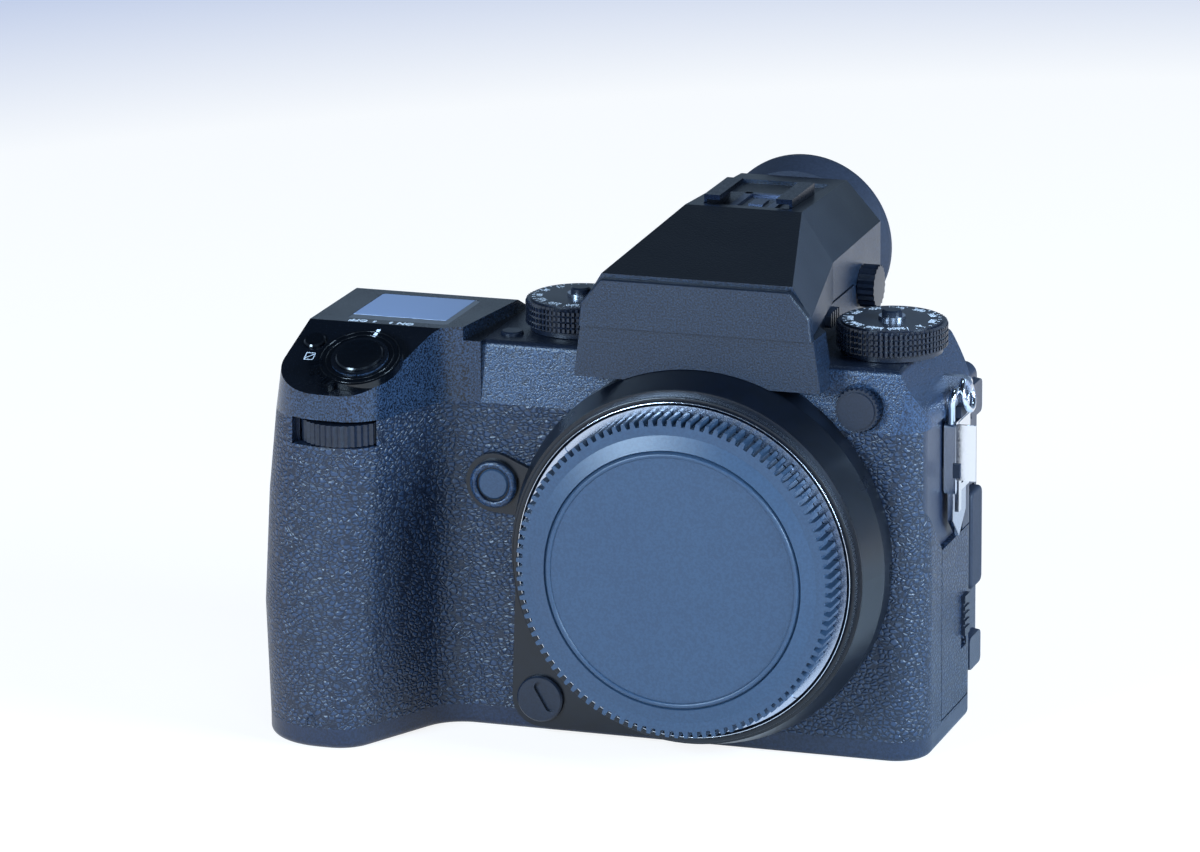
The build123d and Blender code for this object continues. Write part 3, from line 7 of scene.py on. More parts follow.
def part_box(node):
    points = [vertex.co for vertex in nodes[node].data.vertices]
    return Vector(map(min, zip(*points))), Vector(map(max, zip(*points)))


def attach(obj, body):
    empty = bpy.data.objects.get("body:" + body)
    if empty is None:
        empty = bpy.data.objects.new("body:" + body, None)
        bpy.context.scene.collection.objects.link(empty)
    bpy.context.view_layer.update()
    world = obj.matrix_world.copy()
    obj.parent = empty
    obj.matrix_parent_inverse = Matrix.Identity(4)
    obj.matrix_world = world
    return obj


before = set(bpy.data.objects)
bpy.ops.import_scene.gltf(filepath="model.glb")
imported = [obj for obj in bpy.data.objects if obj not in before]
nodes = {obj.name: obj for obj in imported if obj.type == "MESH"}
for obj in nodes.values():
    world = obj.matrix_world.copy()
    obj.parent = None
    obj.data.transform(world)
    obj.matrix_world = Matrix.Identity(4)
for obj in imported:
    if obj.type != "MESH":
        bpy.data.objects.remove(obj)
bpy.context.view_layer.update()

mm = 0.001
print("frame loaded:", len(nodes), "nodes")


def linearColour(code):
    # sRGB hex to the linear values that sockets take
    parts = [int(code[i:i + 2], 16) / 255 for i in (1, 3, 5)]
    return [c / 12.92 if c <= 0.04045 else ((c + 0.055) / 1.055) ** 2.4 for c in parts] + [1]


def addNode(tree, kind, inputs=None, **settings):
    node = tree.nodes.new(kind)
    for name, value in settings.items():
        setattr(node, name, value)
    for name, value in (inputs or {}).items():
        if isinstance(value, bpy.types.NodeSocket):
            tree.links.new(value, node.inputs[name])
        else:
            node.inputs[name].default_value = value
    return node


# materials: one dictionary for each finish of the camera
finishes = {
    # pebbled leatherette, moulded PVC: soft rounded pebbles 1.4 mm long and 0.9 mm high between fine creases,
    # which carry a painted shade in the crease colour
    "leatherette": dict(colour="#28374f", crease="#131b2b", rough=0.38, grain=1.35, depth=0.16,
                        kind="pebble"),
    # magnesium shell, sprayed with a fine matt texture
    "shellPaint": dict(colour="#1d2940", crease="#141d2e", rough=0.36, grain=0.45, depth=0.06, kind="grit"),
    # die-cast covers with a coarse glittering paint; the real specks are 0.2 mm and drawn a bit larger; its
    # upward faces get a painted shade, nearly black
    "speckledPaint": dict(colour="#304663", crease="#0f1a2c", rough=0.32, grain=0.4, depth=0.12, kind="grit",
                          top="#121a29"),
    # the same paint under the finder, seen darker in its shade; its upward faces get a painted shade as well
    "platePaint": dict(colour="#1b293d", crease="#0b121e", rough=0.38, grain=0.4, depth=0.08, kind="grit",
                       top="#0e1521"),
    # smooth satin paint of the mount's skirt and the monitor's parts: long soft highlights
    "satinPaint": dict(colour="#080d17", crease="#070b13", rough=0.3, grain=2.5, depth=0.01, kind="grit"),
    # the cover over the grip: its upright faces keep the speckle, its top is smooth and gets a painted shade,
    # nearly black
    "nosePaint": dict(colour="#2c3d55", crease="#0a1019", rough=0.24, grain=0.4, depth=0.08, kind="grit",
                      top="#060a12"),
    # finder shell, ABS with a very fine spark texture; its upward faces get a painted shade, nearly black
    "finderShell": dict(colour="#1d2b3f", crease="#0c1420", rough=0.34, grain=0.45, depth=0.06, kind="grit",
                        top="#060a12"),
    # glass-filled nylon of the cap: slightly hazy satin
    "capNylon": dict(colour="#31455c", crease="#2c3e54", rough=0.34, grain=0.6, depth=0.015, kind="grit"),
    # black anodised aluminium of dials: tight highlights on the teeth
    "dialAnodised": dict(colour="#161d2c", crease="#101622", rough=0.32, grain=0.8, depth=0.01, kind="grit"),
    # buttons, moulded and lightly blasted
    "buttonPlastic": dict(colour="#151e2e", crease="#101826", rough=0.36, grain=0.5, depth=0.02, kind="grit"),
    # turned aluminium button face in the mount's boss
    "functionFace": dict(colour="#2f4259", crease="#293a50", rough=0.38, grain=0.5, depth=0.015, kind="grit"),
    # gloss black of the shutter button, its ring and the small button beside it
    "glossBlack": dict(colour="#05080e", crease="#04060b", rough=0.14, grain=0.8, depth=0.004, kind="grit"),
    # rubber of eyecup and plugs: dull, with a faint sheen of bloom
    "softRubber": dict(colour="#1f2739", crease="#182031", rough=0.62, grain=0.7, depth=0.03, kind="grit"),
    # solder mask on the board, then the moulded battery and cards
    "boardMask": dict(colour="#1e5b3a", crease="#17482e", rough=0.4, grain=1.0, depth=0.02, kind="grit"),
    "batteryShell": dict(colour="#2b2e36", crease="#24272e", rough=0.5, grain=0.6, depth=0.02, kind="grit"),
    "cardShell": dict(colour="#22355f", crease="#1c2d52", rough=0.45, grain=0.6, depth=0.02, kind="grit"),
    # white ink printed on the covers
    "whiteInk": dict(colour="#e8edf6", crease="#dfe5f0", rough=0.5, grain=0.4, depth=0.005, kind="grit"),
}

metals = {
    # bright chrome of the clip and of the line round the mount, with fine polishing marks
    "chromePlate": dict(colour="#e2e5ec", rough=0.12, mark=0.5, depth=0.006),
    # turned stainless steel of the mount ring, lugs and screws
    "turnedSteel": dict(colour="#b9c0cf", rough=0.24, mark=0.35, depth=0.01),
    # dark steel of the shoe's rails
    "shoeSteel": dict(colour="#1a2334", rough=0.3, mark=0.6, depth=0.01),
    # the blackened spring plate inside the shoe
    "springSteel": dict(colour="#5d6880", rough=0.34, mark=0.5, depth=0.01),
    # gold plated contact pins
    "goldPins": dict(colour="#c9a45a", rough=0.25, mark=0.3, depth=0.005),
}

glasses = {
    # the top display and the dark glass round it, the monitor, the eyepiece and the sensor's cover
    "displayPanel": dict(inner="#7890be", outer="#849cc8", cloud=30.0, rough=0.22),
    "displayGlass": dict(inner="#121a28", outer="#182132", cloud=30.0, rough=0.16),
    "monitorGlass": dict(inner="#0b0e16", outer="#0f131d", cloud=20.0, rough=0.1),
    "eyeGlass": dict(inner="#1b2638", outer="#27384c", cloud=60.0, rough=0.06),
    "sensorGlass": dict(inner="#1d3236", outer="#2a2f45", cloud=40.0, rough=0.08),
}

# leatherette: how far its cells are warped, how long they are, how wide their shoulders, where the painted
# crease shade gives way to the pebbles' colour
pebble = dict(warpScale=0.5, detail=2.0, warp=0.9, longer=1.5, shoulder=0.3, tones=(0.1, 0.9))
# painted and moulded plastic, the faces that count as tops and take the painted shade, and how use makes it
# shinier or duller in places
grit = dict(detail=1.5, roughness=0.6, tones=(0.38, 0.62))
topShadeRange = dict(starts=0.35, full=0.65)
handling = dict(scale=60.0, detail=2.0, shinier=0.04, duller=0.05)
plasticIor = 1.5
polish = dict(detail=3.0, shinier=0.8, duller=1.3, strength=0.6)
coverGlass = dict(detail=1.0, shinier=0.8, duller=1.2, coat=0.5, coatRough=0.03)
# the part of its range that a noise really fills
noiseLow, noiseHigh = 0.3, 0.7


def newMaterial(name):
    # an empty material, its tree and the piece's own coordinates
    material = bpy.data.materials.new(name)
    material.use_nodes = True
    material.node_tree.nodes.clear()
    return material, material.node_tree, addNode(material.node_tree, "ShaderNodeTexCoord")


def coatedMaterial(name, spec):
    material, tree, place = newMaterial(name)
    scale = 1 / (spec["grain"] * mm)
    if spec["kind"] == "pebble":
        warp = addNode(tree, "ShaderNodeTexNoise", {
            "Vector": place.outputs["Object"], "Scale": scale * pebble["warpScale"],
            "Detail": pebble["detail"]})
        bend = addNode(tree, "ShaderNodeVectorMath", {
            0: warp.outputs["Color"], "Scale": pebble["warp"] * spec["grain"] * mm}, operation="SCALE")
        moved = addNode(tree, "ShaderNodeVectorMath", {
            0: place.outputs["Object"], 1: bend.outputs["Vector"]}, operation="ADD")
        # the pebbles are half as long again along the body as they are high
        longer = addNode(tree, "ShaderNodeVectorMath", {
            0: moved.outputs["Vector"], 1: (1.0, 1.0, pebble["longer"])}, operation="MULTIPLY")
        cells = addNode(tree, "ShaderNodeTexVoronoi", {
            "Vector": longer.outputs["Vector"], "Scale": scale}, feature="DISTANCE_TO_EDGE")
        height = addNode(tree, "ShaderNodeMapRange", {
            "Value": cells.outputs["Distance"], "From Min": 0.0, "From Max": pebble["shoulder"],
        }, interpolation_type="SMOOTHSTEP")
        grey = height.outputs["Result"]
        low, high = pebble["tones"]
    else:
        specks = addNode(tree, "ShaderNodeTexNoise", {
            "Vector": place.outputs["Object"], "Scale": scale, "Detail": grit["detail"],
            "Roughness": grit["roughness"]})
        grey = specks.outputs["Fac"]
        low, high = grit["tones"]
    # the leatherette's creases take the crease colour as a painted shade; in the other finishes it is the
    # darker of two random speck tones
    tone = addNode(tree, "ShaderNodeMapRange", {"Value": grey, "From Min": low, "From Max": high})
    colour = addNode(tree, "ShaderNodeMix", {
        "Factor": tone.outputs["Result"], 6: linearColour(spec["crease"]), 7: linearColour(spec["colour"]),
    }, data_type="RGBA")
    if "top" in spec:
        # painted shade: faces that look up are smooth and painted nearly black, whichever way the whole part
        # is turned
        upward = addNode(tree, "ShaderNodeSeparateXYZ", {0: place.outputs["Normal"]})
        topShade = addNode(tree, "ShaderNodeMapRange", {
            "Value": upward.outputs["Z"], "From Min": topShadeRange["starts"], "From Max": topShadeRange["full"]})
        colour = addNode(tree, "ShaderNodeMix", {
            "Factor": topShade.outputs["Result"], 6: colour.outputs[2], 7: linearColour(spec["top"]),
        }, data_type="RGBA")
    drift = addNode(tree, "ShaderNodeTexNoise", {
        "Vector": place.outputs["Object"], "Scale": handling["scale"], "Detail": handling["detail"]})
    shine = addNode(tree, "ShaderNodeMapRange", {
        "Value": drift.outputs["Fac"], "From Min": noiseLow, "From Max": noiseHigh,
        "To Min": spec["rough"] - handling["shinier"], "To Max": spec["rough"] + handling["duller"]})
    bump = addNode(tree, "ShaderNodeBump", {"Height": grey, "Distance": spec["depth"] * mm, "Strength": 1.0})
    shader = addNode(tree, "ShaderNodeBsdfPrincipled", {
        "Base Color": colour.outputs[2], "Roughness": shine.outputs["Result"],
        "Normal": bump.outputs["Normal"], "IOR": plasticIor})
    addNode(tree, "ShaderNodeOutputMaterial", {"Surface": shader.outputs[0]})
    return material


def metalMaterial(name, spec):
    material, tree, place = newMaterial(name)
    marks = addNode(tree, "ShaderNodeTexNoise", {
        "Vector": place.outputs["Object"], "Scale": 1 / (spec["mark"] * mm), "Detail": polish["detail"]})
    shine = addNode(tree, "ShaderNodeMapRange", {
        "Value": marks.outputs["Fac"], "From Min": noiseLow, "From Max": noiseHigh,
        "To Min": spec["rough"] * polish["shinier"], "To Max": spec["rough"] * polish["duller"]})
    bump = addNode(tree, "ShaderNodeBump", {
        "Height": marks.outputs["Fac"], "Distance": spec["depth"] * mm, "Strength": polish["strength"]})
    shader = addNode(tree, "ShaderNodeBsdfPrincipled", {
        "Base Color": linearColour(spec["colour"]), "Metallic": 1.0, "Roughness": shine.outputs["Result"],
        "Normal": bump.outputs["Normal"]})
    addNode(tree, "ShaderNodeOutputMaterial", {"Surface": shader.outputs[0]})
    return material


def glassyMaterial(name, spec):
    # a dark or grey panel under clear cover glass: colour drifts a little, the coat gives sharp reflections
    material, tree, place = newMaterial(name)
    cloud = addNode(tree, "ShaderNodeTexNoise", {
        "Vector": place.outputs["Object"], "Scale": spec["cloud"], "Detail": coverGlass["detail"]})
    colour = addNode(tree, "ShaderNodeMix", {
        "Factor": cloud.outputs["Fac"], 6: linearColour(spec["inner"]), 7: linearColour(spec["outer"]),
    }, data_type="RGBA")
    shine = addNode(tree, "ShaderNodeMapRange", {
        "Value": cloud.outputs["Fac"], "To Min": spec["rough"] * coverGlass["shinier"],
        "To Max": spec["rough"] * coverGlass["duller"]})
    shader = addNode(tree, "ShaderNodeBsdfPrincipled", {
        "Base Color": colour.outputs[2], "Roughness": shine.outputs["Result"],
        "Coat Weight": coverGlass["coat"], "Coat Roughness": coverGlass["coatRough"]})
    addNode(tree, "ShaderNodeOutputMaterial", {"Surface": shader.outputs[0]})
    return material


materials = {name: coatedMaterial(name, spec) for name, spec in finishes.items()}
materials.update({name: metalMaterial(name, spec) for name, spec in metals.items()})
materials.update({name: glassyMaterial(name, spec) for name, spec in glasses.items()})

wears = {
    "leatherette": ["front_coverings", "card_door", "battery_door"],
    "shellPaint": ["front_cover", "rear_cover", "base_plate"],
    "speckledPaint": ["top_cover"],
    "platePaint": ["hump_cover", "finder_front_plate"],
    "nosePaint": ["grip_top_cover"],
    "satinPaint": ["mount_skirt", "shutter_unit", "port_sockets", "monitor_housing", "monitor_arm",
                   "monitor_bracket"],
    "finderShell": ["finder_housing"],
    "capNylon": ["body_cap"],
    "dialAnodised": ["shutter_speed_dial", "sensitivity_dial", "front_command_dial", "rear_command_dial",
                     "diopter_dial"],
    "glossBlack": ["power_switch", "shutter_button", "exposure_button"],
    "buttonPlastic": ["lens_release_button", "backlight_button", "drive_button", "shutter_speed_lock_button",
                      "sensitivity_lock_button", "finder_catch", "selector_ring", "menu_button",
                      "exposure_lock_button", "focus_lock_button", "display_button", "play_button",
                      "delete_button", "battery_latch", "sync_cap", "lens_contacts"],
    "functionFace": ["front_function_button"],
    "softRubber": ["eyecup", "port_cover", "focus_stick"],
    "boardMask": ["main_board"],
    "batteryShell": ["battery"],
    "cardShell": ["memory_cards"],
    "chromePlate": ["strap_clip"],
    "turnedSteel": ["mount_ring", "strap_lugs", "screws", "tripod_bush", "dial_posts"],
    "shoeSteel": ["accessory_shoe"],
    "displayGlass": ["top_display_glass"],
    "monitorGlass": ["monitor_glass"],
    "eyeGlass": ["eyepiece_lens"],
    "sensorGlass": ["image_sensor"],
}
for finish, names in wears.items():
    for name in names:
        nodes[name].data.materials.clear()
        nodes[name].data.materials.append(materials[finish])
bare = [n for n in nodes if not any(n in names for names in wears.values())]
print("materials:", len(materials), "nodes without one:", bare)


# marks that repeat: ticks and studs set round a ring by one node tree
def ringTree(name):
    tree = bpy.data.node_groups.new(name, "GeometryNodeTree")
    for label, kind in (("Count", "Int"), ("Radius", "Float"), ("Length", "Float"), ("Width", "Float"),
                        ("Height", "Float"), ("Rows", "Int"), ("Step", "Float"), ("Finish", "Material")):
        tree.interface.new_socket(label, in_out="INPUT", socket_type="NodeSocket" + kind)
    tree.interface.new_socket("Geometry", in_out="OUTPUT", socket_type="NodeSocketGeometry")
    given = addNode(tree, "NodeGroupInput").outputs
    ring = addNode(tree, "GeometryNodeMeshCircle", {"Vertices": given["Count"], "Radius": given["Radius"]})
    stack = addNode(tree, "GeometryNodeMeshLine", {"Count": given["Rows"]})
    step = addNode(tree, "ShaderNodeCombineXYZ", {"Z": given["Step"]})
    tree.links.new(step.outputs[0], stack.inputs["Offset"])
    size = addNode(tree, "ShaderNodeCombineXYZ", {
        "X": given["Length"], "Y": given["Width"], "Z": given["Height"]})
    mark = addNode(tree, "GeometryNodeMeshCube", {"Size": size.outputs[0]})
    number = addNode(tree, "GeometryNodeInputIndex")
    count = addNode(tree, "ShaderNodeMath", {0: number.outputs[0], 1: given["Count"]}, operation="DIVIDE")
    turn = addNode(tree, "ShaderNodeMath", {0: count.outputs[0], 1: 2 * pi}, operation="MULTIPLY")
    spin = addNode(tree, "ShaderNodeCombineXYZ", {"Z": turn.outputs[0]})
    toEuler = addNode(tree, "FunctionNodeEulerToRotation", {0: spin.outputs[0]})
    oneRow = addNode(tree, "GeometryNodeInstanceOnPoints", {"Points": ring.outputs["Mesh"],
                                                            "Instance": mark.outputs["Mesh"],
                                                            "Rotation": toEuler.outputs[0]})
    solid = addNode(tree, "GeometryNodeRealizeInstances", {"Geometry": oneRow.outputs[0]})
    rows = addNode(tree, "GeometryNodeInstanceOnPoints", {"Points": stack.outputs["Mesh"],
                                                          "Instance": solid.outputs[0]})
    solidRows = addNode(tree, "GeometryNodeRealizeInstances", {"Geometry": rows.outputs[0]})
    dressed = addNode(tree, "GeometryNodeSetMaterial", {"Geometry": solidRows.outputs[0],
                                                        "Material": given["Finish"]})
    addNode(tree, "NodeGroupOutput", {0: dressed.outputs[0]})
    return tree


ringMarks = ringTree("ringOfMarks")


def meshPiece(name, mesh, body, material=None):
    piece = bpy.data.objects.new(name, mesh)
    bpy.context.scene.collection.objects.link(piece)
    if material:
        mesh.materials.clear()
        mesh.materials.append(materials[material])
    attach(piece, body)
    return piece


def flatMesh(maker, place):
    # evaluates a curve or a modifier's result and bakes its place into the mesh
    bpy.context.view_layer.update()
    evaluated = maker.evaluated_get(bpy.context.evaluated_depsgraph_get())
    mesh = bpy.data.meshes.new_from_object(evaluated)
    mesh.transform(place)
    bpy.data.objects.remove(maker)
    return mesh


def frameOf(origin, xDir, normal):
    z = Vector(normal).normalized()
    x = (Vector(xDir) - z * Vector(xDir).dot(z)).normalized()
    m = Matrix((x, z.cross(x), z)).transposed().to_4x4()
    return Matrix.Translation(Vector(origin) * mm) @ m


def ringOf(name, body, finish, origin, **sizes):
    maker = bpy.data.objects.new(name + "Maker", bpy.data.meshes.new(name + "Maker"))
    bpy.context.scene.collection.objects.link(maker)
    modifier = maker.modifiers.new("ring", "NODES")
    modifier.node_group = ringMarks
    values = {"Rows": 1, "Step": 0.0, "Finish": materials[finish], **sizes}
    for socket in ringMarks.interface.items_tree:
        if socket.in_out == "INPUT":
            isLength = socket.socket_type == "NodeSocketFloat"
            modifier[socket.identifier] = values[socket.name] * mm if isLength else values[socket.name]
    return meshPiece(name, flatMesh(maker, frameOf(origin, (1, 0, 0), (0, 0, 1))), body)


# print: the font's size for each height of its capitals, how thick the ink lies, and how much bolder it is
ink = dict(sizeFor=1.4, thick=0.02, bolder=0.03, curveSteps=3)


def textMesh(label, height, place):
    curve = bpy.data.curves.new("printed", "FONT")
    curve.body = label
    curve.size = height * mm * ink["sizeFor"]
    curve.extrude = ink["thick"] * mm
    curve.offset = ink["bolder"] * height * mm
    curve.align_x = "CENTER"
    curve.align_y = "CENTER"
    curve.resolution_u = ink["curveSteps"]
    maker = bpy.data.objects.new("printedMaker", curve)
    bpy.context.scene.collection.objects.link(maker)
    return flatMesh(maker, place)


def joined(name, meshes, body, finish):
    whole = bmesh.new()
    for mesh in meshes:
        whole.from_mesh(mesh)
        bpy.data.meshes.remove(mesh)
    mesh = bpy.data.meshes.new(name)
    whole.to_mesh(mesh)
    whole.free()
    return meshPiece(name, mesh, body, finish)


# top dials: printed numbers, ticks and rows of studs on the band
topDials = {
    "shutterSpeed": dict(body="speed_dial", x=-34.0, y=-2.0, top=94.2, rim=11.9,
                         labels="B 1 2 4 8 15 30 60 125 250 500 1000 4000".split()),
    "sensitivity": dict(body="sensitivity_wheel", x=36.4, y=-2.0, top=94.2, rim=11.9,
                        labels="100 160 200 320 400 800 1600 3200 6400 12800 A".split()),
}
dialFace = dict(text=1.4, textIn=3.0, textRise=0.03, ticksEach=3, tickIn=1.6, tickRise=0.01, studs=72,
                studIn=0.05, studDrop=5.1, rows=4, step=1.25)
for name, dial in topDials.items():
    meshes = []
    count = len(dial["labels"])
    middle = Vector((dial["x"], dial["y"], dial["top"] + dialFace["textRise"]))
    for i, label in enumerate(dial["labels"]):
        angle = 2 * pi * i / count
        textAt = middle + Vector((cos(angle), sin(angle), 0)) * (dial["rim"] - dialFace["textIn"])
        textPlace = frameOf(textAt, (sin(angle), -cos(angle), 0), (0, 0, 1))
        meshes.append(textMesh(label, dialFace["text"], textPlace))
    joined(name + "Numbers", meshes, dial["body"], "whiteInk")
    ringOf(name + "Ticks", dial["body"], "whiteInk",
           (dial["x"], dial["y"], dial["top"] + dialFace["tickRise"]),
           Count=count * dialFace["ticksEach"], Radius=dial["rim"] - dialFace["tickIn"],
           Length=0.7, Width=0.14, Height=0.05)
    ringOf(name + "Studs", dial["body"], "dialAnodised",
           (dial["x"], dial["y"], dial["top"] - dialFace["studDrop"]),
           Count=dialFace["studs"], Radius=dial["rim"] - dialFace["studIn"],
           Length=0.5, Width=0.55, Height=0.8, Rows=dialFace["rows"], Step=dialFace["step"])
print("dials done")

# grip top: switch words, index line and the exposure mark
slope = dict(low=(-45.2, 79.4), high=(-22.6, 90.0), back=(7.0, 89.8))
slopeAngle = atan2(slope["high"][1] - slope["low"][1], slope["high"][0] - slope["low"][0])
slopeNormal = (0, -sin(slopeAngle), cos(slopeAngle))
frameAngle = atan2(slope["back"][1] - slope["high"][1], slope["back"][0] - slope["high"][0])
frameNormal = (0, -sin(frameAngle), cos(frameAngle))


def onPlane(x, y, start, end, normal, rise):
    # the point over (x, y) on the plane through two (y, z) points, lifted along its normal
    z = start[1] + (y - start[0]) * (end[1] - start[1]) / (end[0] - start[0])
    return Vector((x, y, z)) + Vector(normal) * rise


def onSlope(x, y, rise):
    return onPlane(x, y, slope["low"], slope["high"], slopeNormal, rise)


def onFrame(x, y, rise):
    return onPlane(x, y, slope["high"], slope["back"], frameNormal, rise)


def bar(length, width, height, place):
    block = bmesh.new()
    bmesh.ops.create_cube(block, size=1.0, matrix=Matrix.Diagonal((length * mm, width * mm, height * mm, 1)))
    mesh = bpy.data.meshes.new("bar")
    block.to_mesh(mesh)
    block.free()
    mesh.transform(place)
    return mesh


def strokes(mark, onTop, normal):
    # flat bars round the mark's middle: across, along, length, width and lean of each
    x, y = mark["at"]
    return [bar(length, width, mark["thick"],
                frameOf(onTop(x + across, y + along, mark["rise"]), (1, lean, 0), normal))
            for across, along, length, width, lean in mark["bars"]]


words = dict(texts={"OFF": (-78.6, -20.9), "ON": (-67.8, -20.9)}, size=1.7, textRise=0.02)
wordBars = dict(at=(-74.9, -21.0), thick=0.05, rise=0.01, bars=[(0, 0, 0.55, 1.2, 0), (3.8, 0, 0.55, 1.2, 0)])
panel = dict(at=(-71.1, -6.0), thick=0.04, rise=-0.04, bars=[(0, 0, 21.4, 19.2, 0)])
indexLine = dict(at=(-71.9, -27.4), thick=0.12, rise=1.78, bars=[(0, 0, 0.75, 2.6, -0.2)])
exposureSign = dict(at=(-85.2, -33.9), thick=0.05, rise=0.02, bars=[
    (0, -1.0, 2.0, 0.16, 0), (0, 1.0, 2.0, 0.16, 0), (-1.0, 0, 0.16, 2.2, 0), (1.0, 0, 0.16, 2.2, 0),
    (0, 0, 2.6, 0.16, 0.9)])
joined("switchWords", [
    textMesh(word, words["size"], frameOf(onFrame(*place, words["textRise"]), (-1, 0, 0), frameNormal))
    for word, place in words["texts"].items()
] + strokes(wordBars, onFrame, frameNormal), "body", "whiteInk")
joined("displayPanel", strokes(panel, onFrame, frameNormal), "body", "displayPanel")
joined("switchIndex", strokes(indexLine, onSlope, slopeNormal), "power", "whiteInk")
joined("exposureMark", strokes(exposureSign, onSlope, slopeNormal), "body", "whiteInk")
print("marks done")


# metres: points of a turned piece nearer than this are one, which closes its poles
poleGap = 1e-7


def lathe(profile, place, steps=192):
    # turns a closed outline of (radius, height) points round the place's Z
    count = len(profile)
    points = []
    faces = []
    for i in range(steps):
        angle = 2 * pi * i / steps
        points += [(r * cos(angle) * mm, r * sin(angle) * mm, z * mm) for r, z in profile]
        after = (i + 1) % steps
        for k in range(count):
            step = (k + 1) % count
            # a stretch along the axis itself makes no face
            if profile[k][0] or profile[step][0]:
                faces.append((i * count + k, after * count + k, after * count + step, i * count + step))
    mesh = bpy.data.meshes.new("turned")
    mesh.from_pydata(points, [], faces)
    closed = bmesh.new()
    closed.from_mesh(mesh)
    bmesh.ops.remove_doubles(closed, verts=closed.verts, dist=poleGap)
    closed.to_mesh(mesh)
    closed.free()
    mesh.transform(place)
    mesh.shade_smooth()
    return mesh


# lens mount: the skirt's black lip over the steel flange's outer edge, with a bright line on it
mountSpec = dict(z=44.3, flangeY=-36.5,
                 lip=[(36.5, 0.01), (38.38, 0.01), (38.36, 0.084), (38.06, 0.14), (36.5, 0.14)],
                 edge=[(37.0, 0.14), (37.24, 0.14), (37.2, 0.24), (37.04, 0.24)])
mountPlace = frameOf((0, mountSpec["flangeY"], mountSpec["z"]), (1, 0, 0), (0, -1, 0))
joined("mountLip", [lathe(mountSpec["lip"], mountPlace)], "body", "satinPaint")
joined("mountEdge", [lathe(mountSpec["edge"], mountPlace)], "body", "chromePlate")

# lens contacts: gold faces on the pins of the black block, low in the throat
pinSpec = dict(count=12, step=4.6, ring=28.65, r=0.74, thick=0.05, chamfer=0.1, steps=16)
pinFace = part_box("lens_contacts")[0][1] / mm
pinParts = []
for i in range(pinSpec["count"]):
    angle = radians(-90 + (i - (pinSpec["count"] - 1) / 2) * pinSpec["step"])
    pinAt = (pinSpec["ring"] * cos(angle), pinFace, mountSpec["z"] + pinSpec["ring"] * sin(angle))
    pinParts.append(lathe([
        (0.0, 0.0), (pinSpec["r"], 0.0), (pinSpec["r"] - pinSpec["chamfer"], pinSpec["thick"]),
        (0.0, pinSpec["thick"]),
    ], frameOf(pinAt, (1, 0, 0), (0, -1, 0)), pinSpec["steps"]))
joined("contactPins", pinParts, "body", "goldPins")

# body cap: the low bead round its disc, inside the bevel
bead = dict(face=-44.6, outline=[
    (27.1, 0.0), (28.15, 0.0), (28.1, 0.25), (27.8, 0.4), (27.45, 0.4), (27.15, 0.2)])
joined("capBead", [lathe(bead["outline"], frameOf((0, bead["face"], mountSpec["z"]), (1, 0, 0), (0, -1, 0)))],
       "cap", "capNylon")

# rear controls: four ticks round the selector ring, a play triangle and the bars of the menu mark
def buttonFace(node):
    # the middle of a rear button's outer face, and half its width
    low, high = (Vector(corner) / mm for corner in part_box(node))
    return Vector(((low.x + high.x) / 2, high.y, (low.z + high.z) / 2)), (high.x - low.x) / 2


rearMarks = dict(tickIn=1.3, tick=(0.3, 1.1), menu=(1.8, 0.28), menuStep=0.7, thick=0.06, rise=0.02,
                 play=(0.8, 0.9), playRise=0.04)
middle, half = buttonFace("selector_ring")
rearParts = []
for i in range(4):
    outward = Vector((cos(i * pi / 2), 0, sin(i * pi / 2)))
    tickAt = middle + outward * (half - rearMarks["tickIn"]) + Vector((0, rearMarks["rise"], 0))
    rearParts.append(bar(*rearMarks["tick"], rearMarks["thick"], frameOf(tickAt, outward, (0, 1, 0))))
joined("selectorTicks", rearParts, "selector", "whiteInk")
middle, half = buttonFace("play_button")
playMark = bpy.data.meshes.new("playMark")
playMark.from_pydata([
    Vector((middle.x + x * rearMarks["play"][0], middle.y + rearMarks["playRise"],
            middle.z + z * rearMarks["play"][1])) * mm
    for x, z in ((1, 1), (1, -1), (-1, 0))
], [], [(0, 1, 2)])
joined("playMark", [playMark], "play", "whiteInk")
middle, half = buttonFace("menu_button")
joined("menuMark", [
    bar(*rearMarks["menu"], rearMarks["thick"],
        frameOf(middle + Vector((0, rearMarks["rise"], step * rearMarks["menuStep"])), (1, 0, 0), (0, 1, 0)))
    for step in (-1, 0, 1)
], "menu", "whiteInk")

# accessory shoe: the pressed spring plate between its rails
# across, behind and above the shoe's middle, then length, width and height of each strip
shoeSpring = dict(at=(0, 20.4, 112.2), strips=[
    (-4.3, 0, 0.25, 1.7, 13.0, 0.5), (4.3, 0, 0.25, 1.7, 13.0, 0.5), (0, 5.8, 0.25, 10.3, 1.4, 0.5),
    (0, -1.0, 0.18, 3.2, 5.0, 0.35)])
joined("shoeSpring", [
    bar(length, width, height, frameOf(Vector(shoeSpring["at"]) + Vector((x, y, z)), (1, 0, 0), (0, 0, 1)))
    for x, y, z, length, width, height in shoeSpring["strips"]
], "finder", "springSteel")

# function button: the bevelled collar round it, lighter than the boss
collar = dict(at=(-47.6, -22.2, 55.9), steps=96, outline=[
    (3.75, 0.0), (5.35, 0.0), (5.3, 0.25), (4.7, 0.75), (4.1, 0.75), (3.75, 0.45)])
collarPlace = frameOf(collar["at"], (1, 0, 0), (0, -1, 0))
joined("functionCollar", [lathe(collar["outline"], collarPlace, collar["steps"])], "body", "speckledPaint")

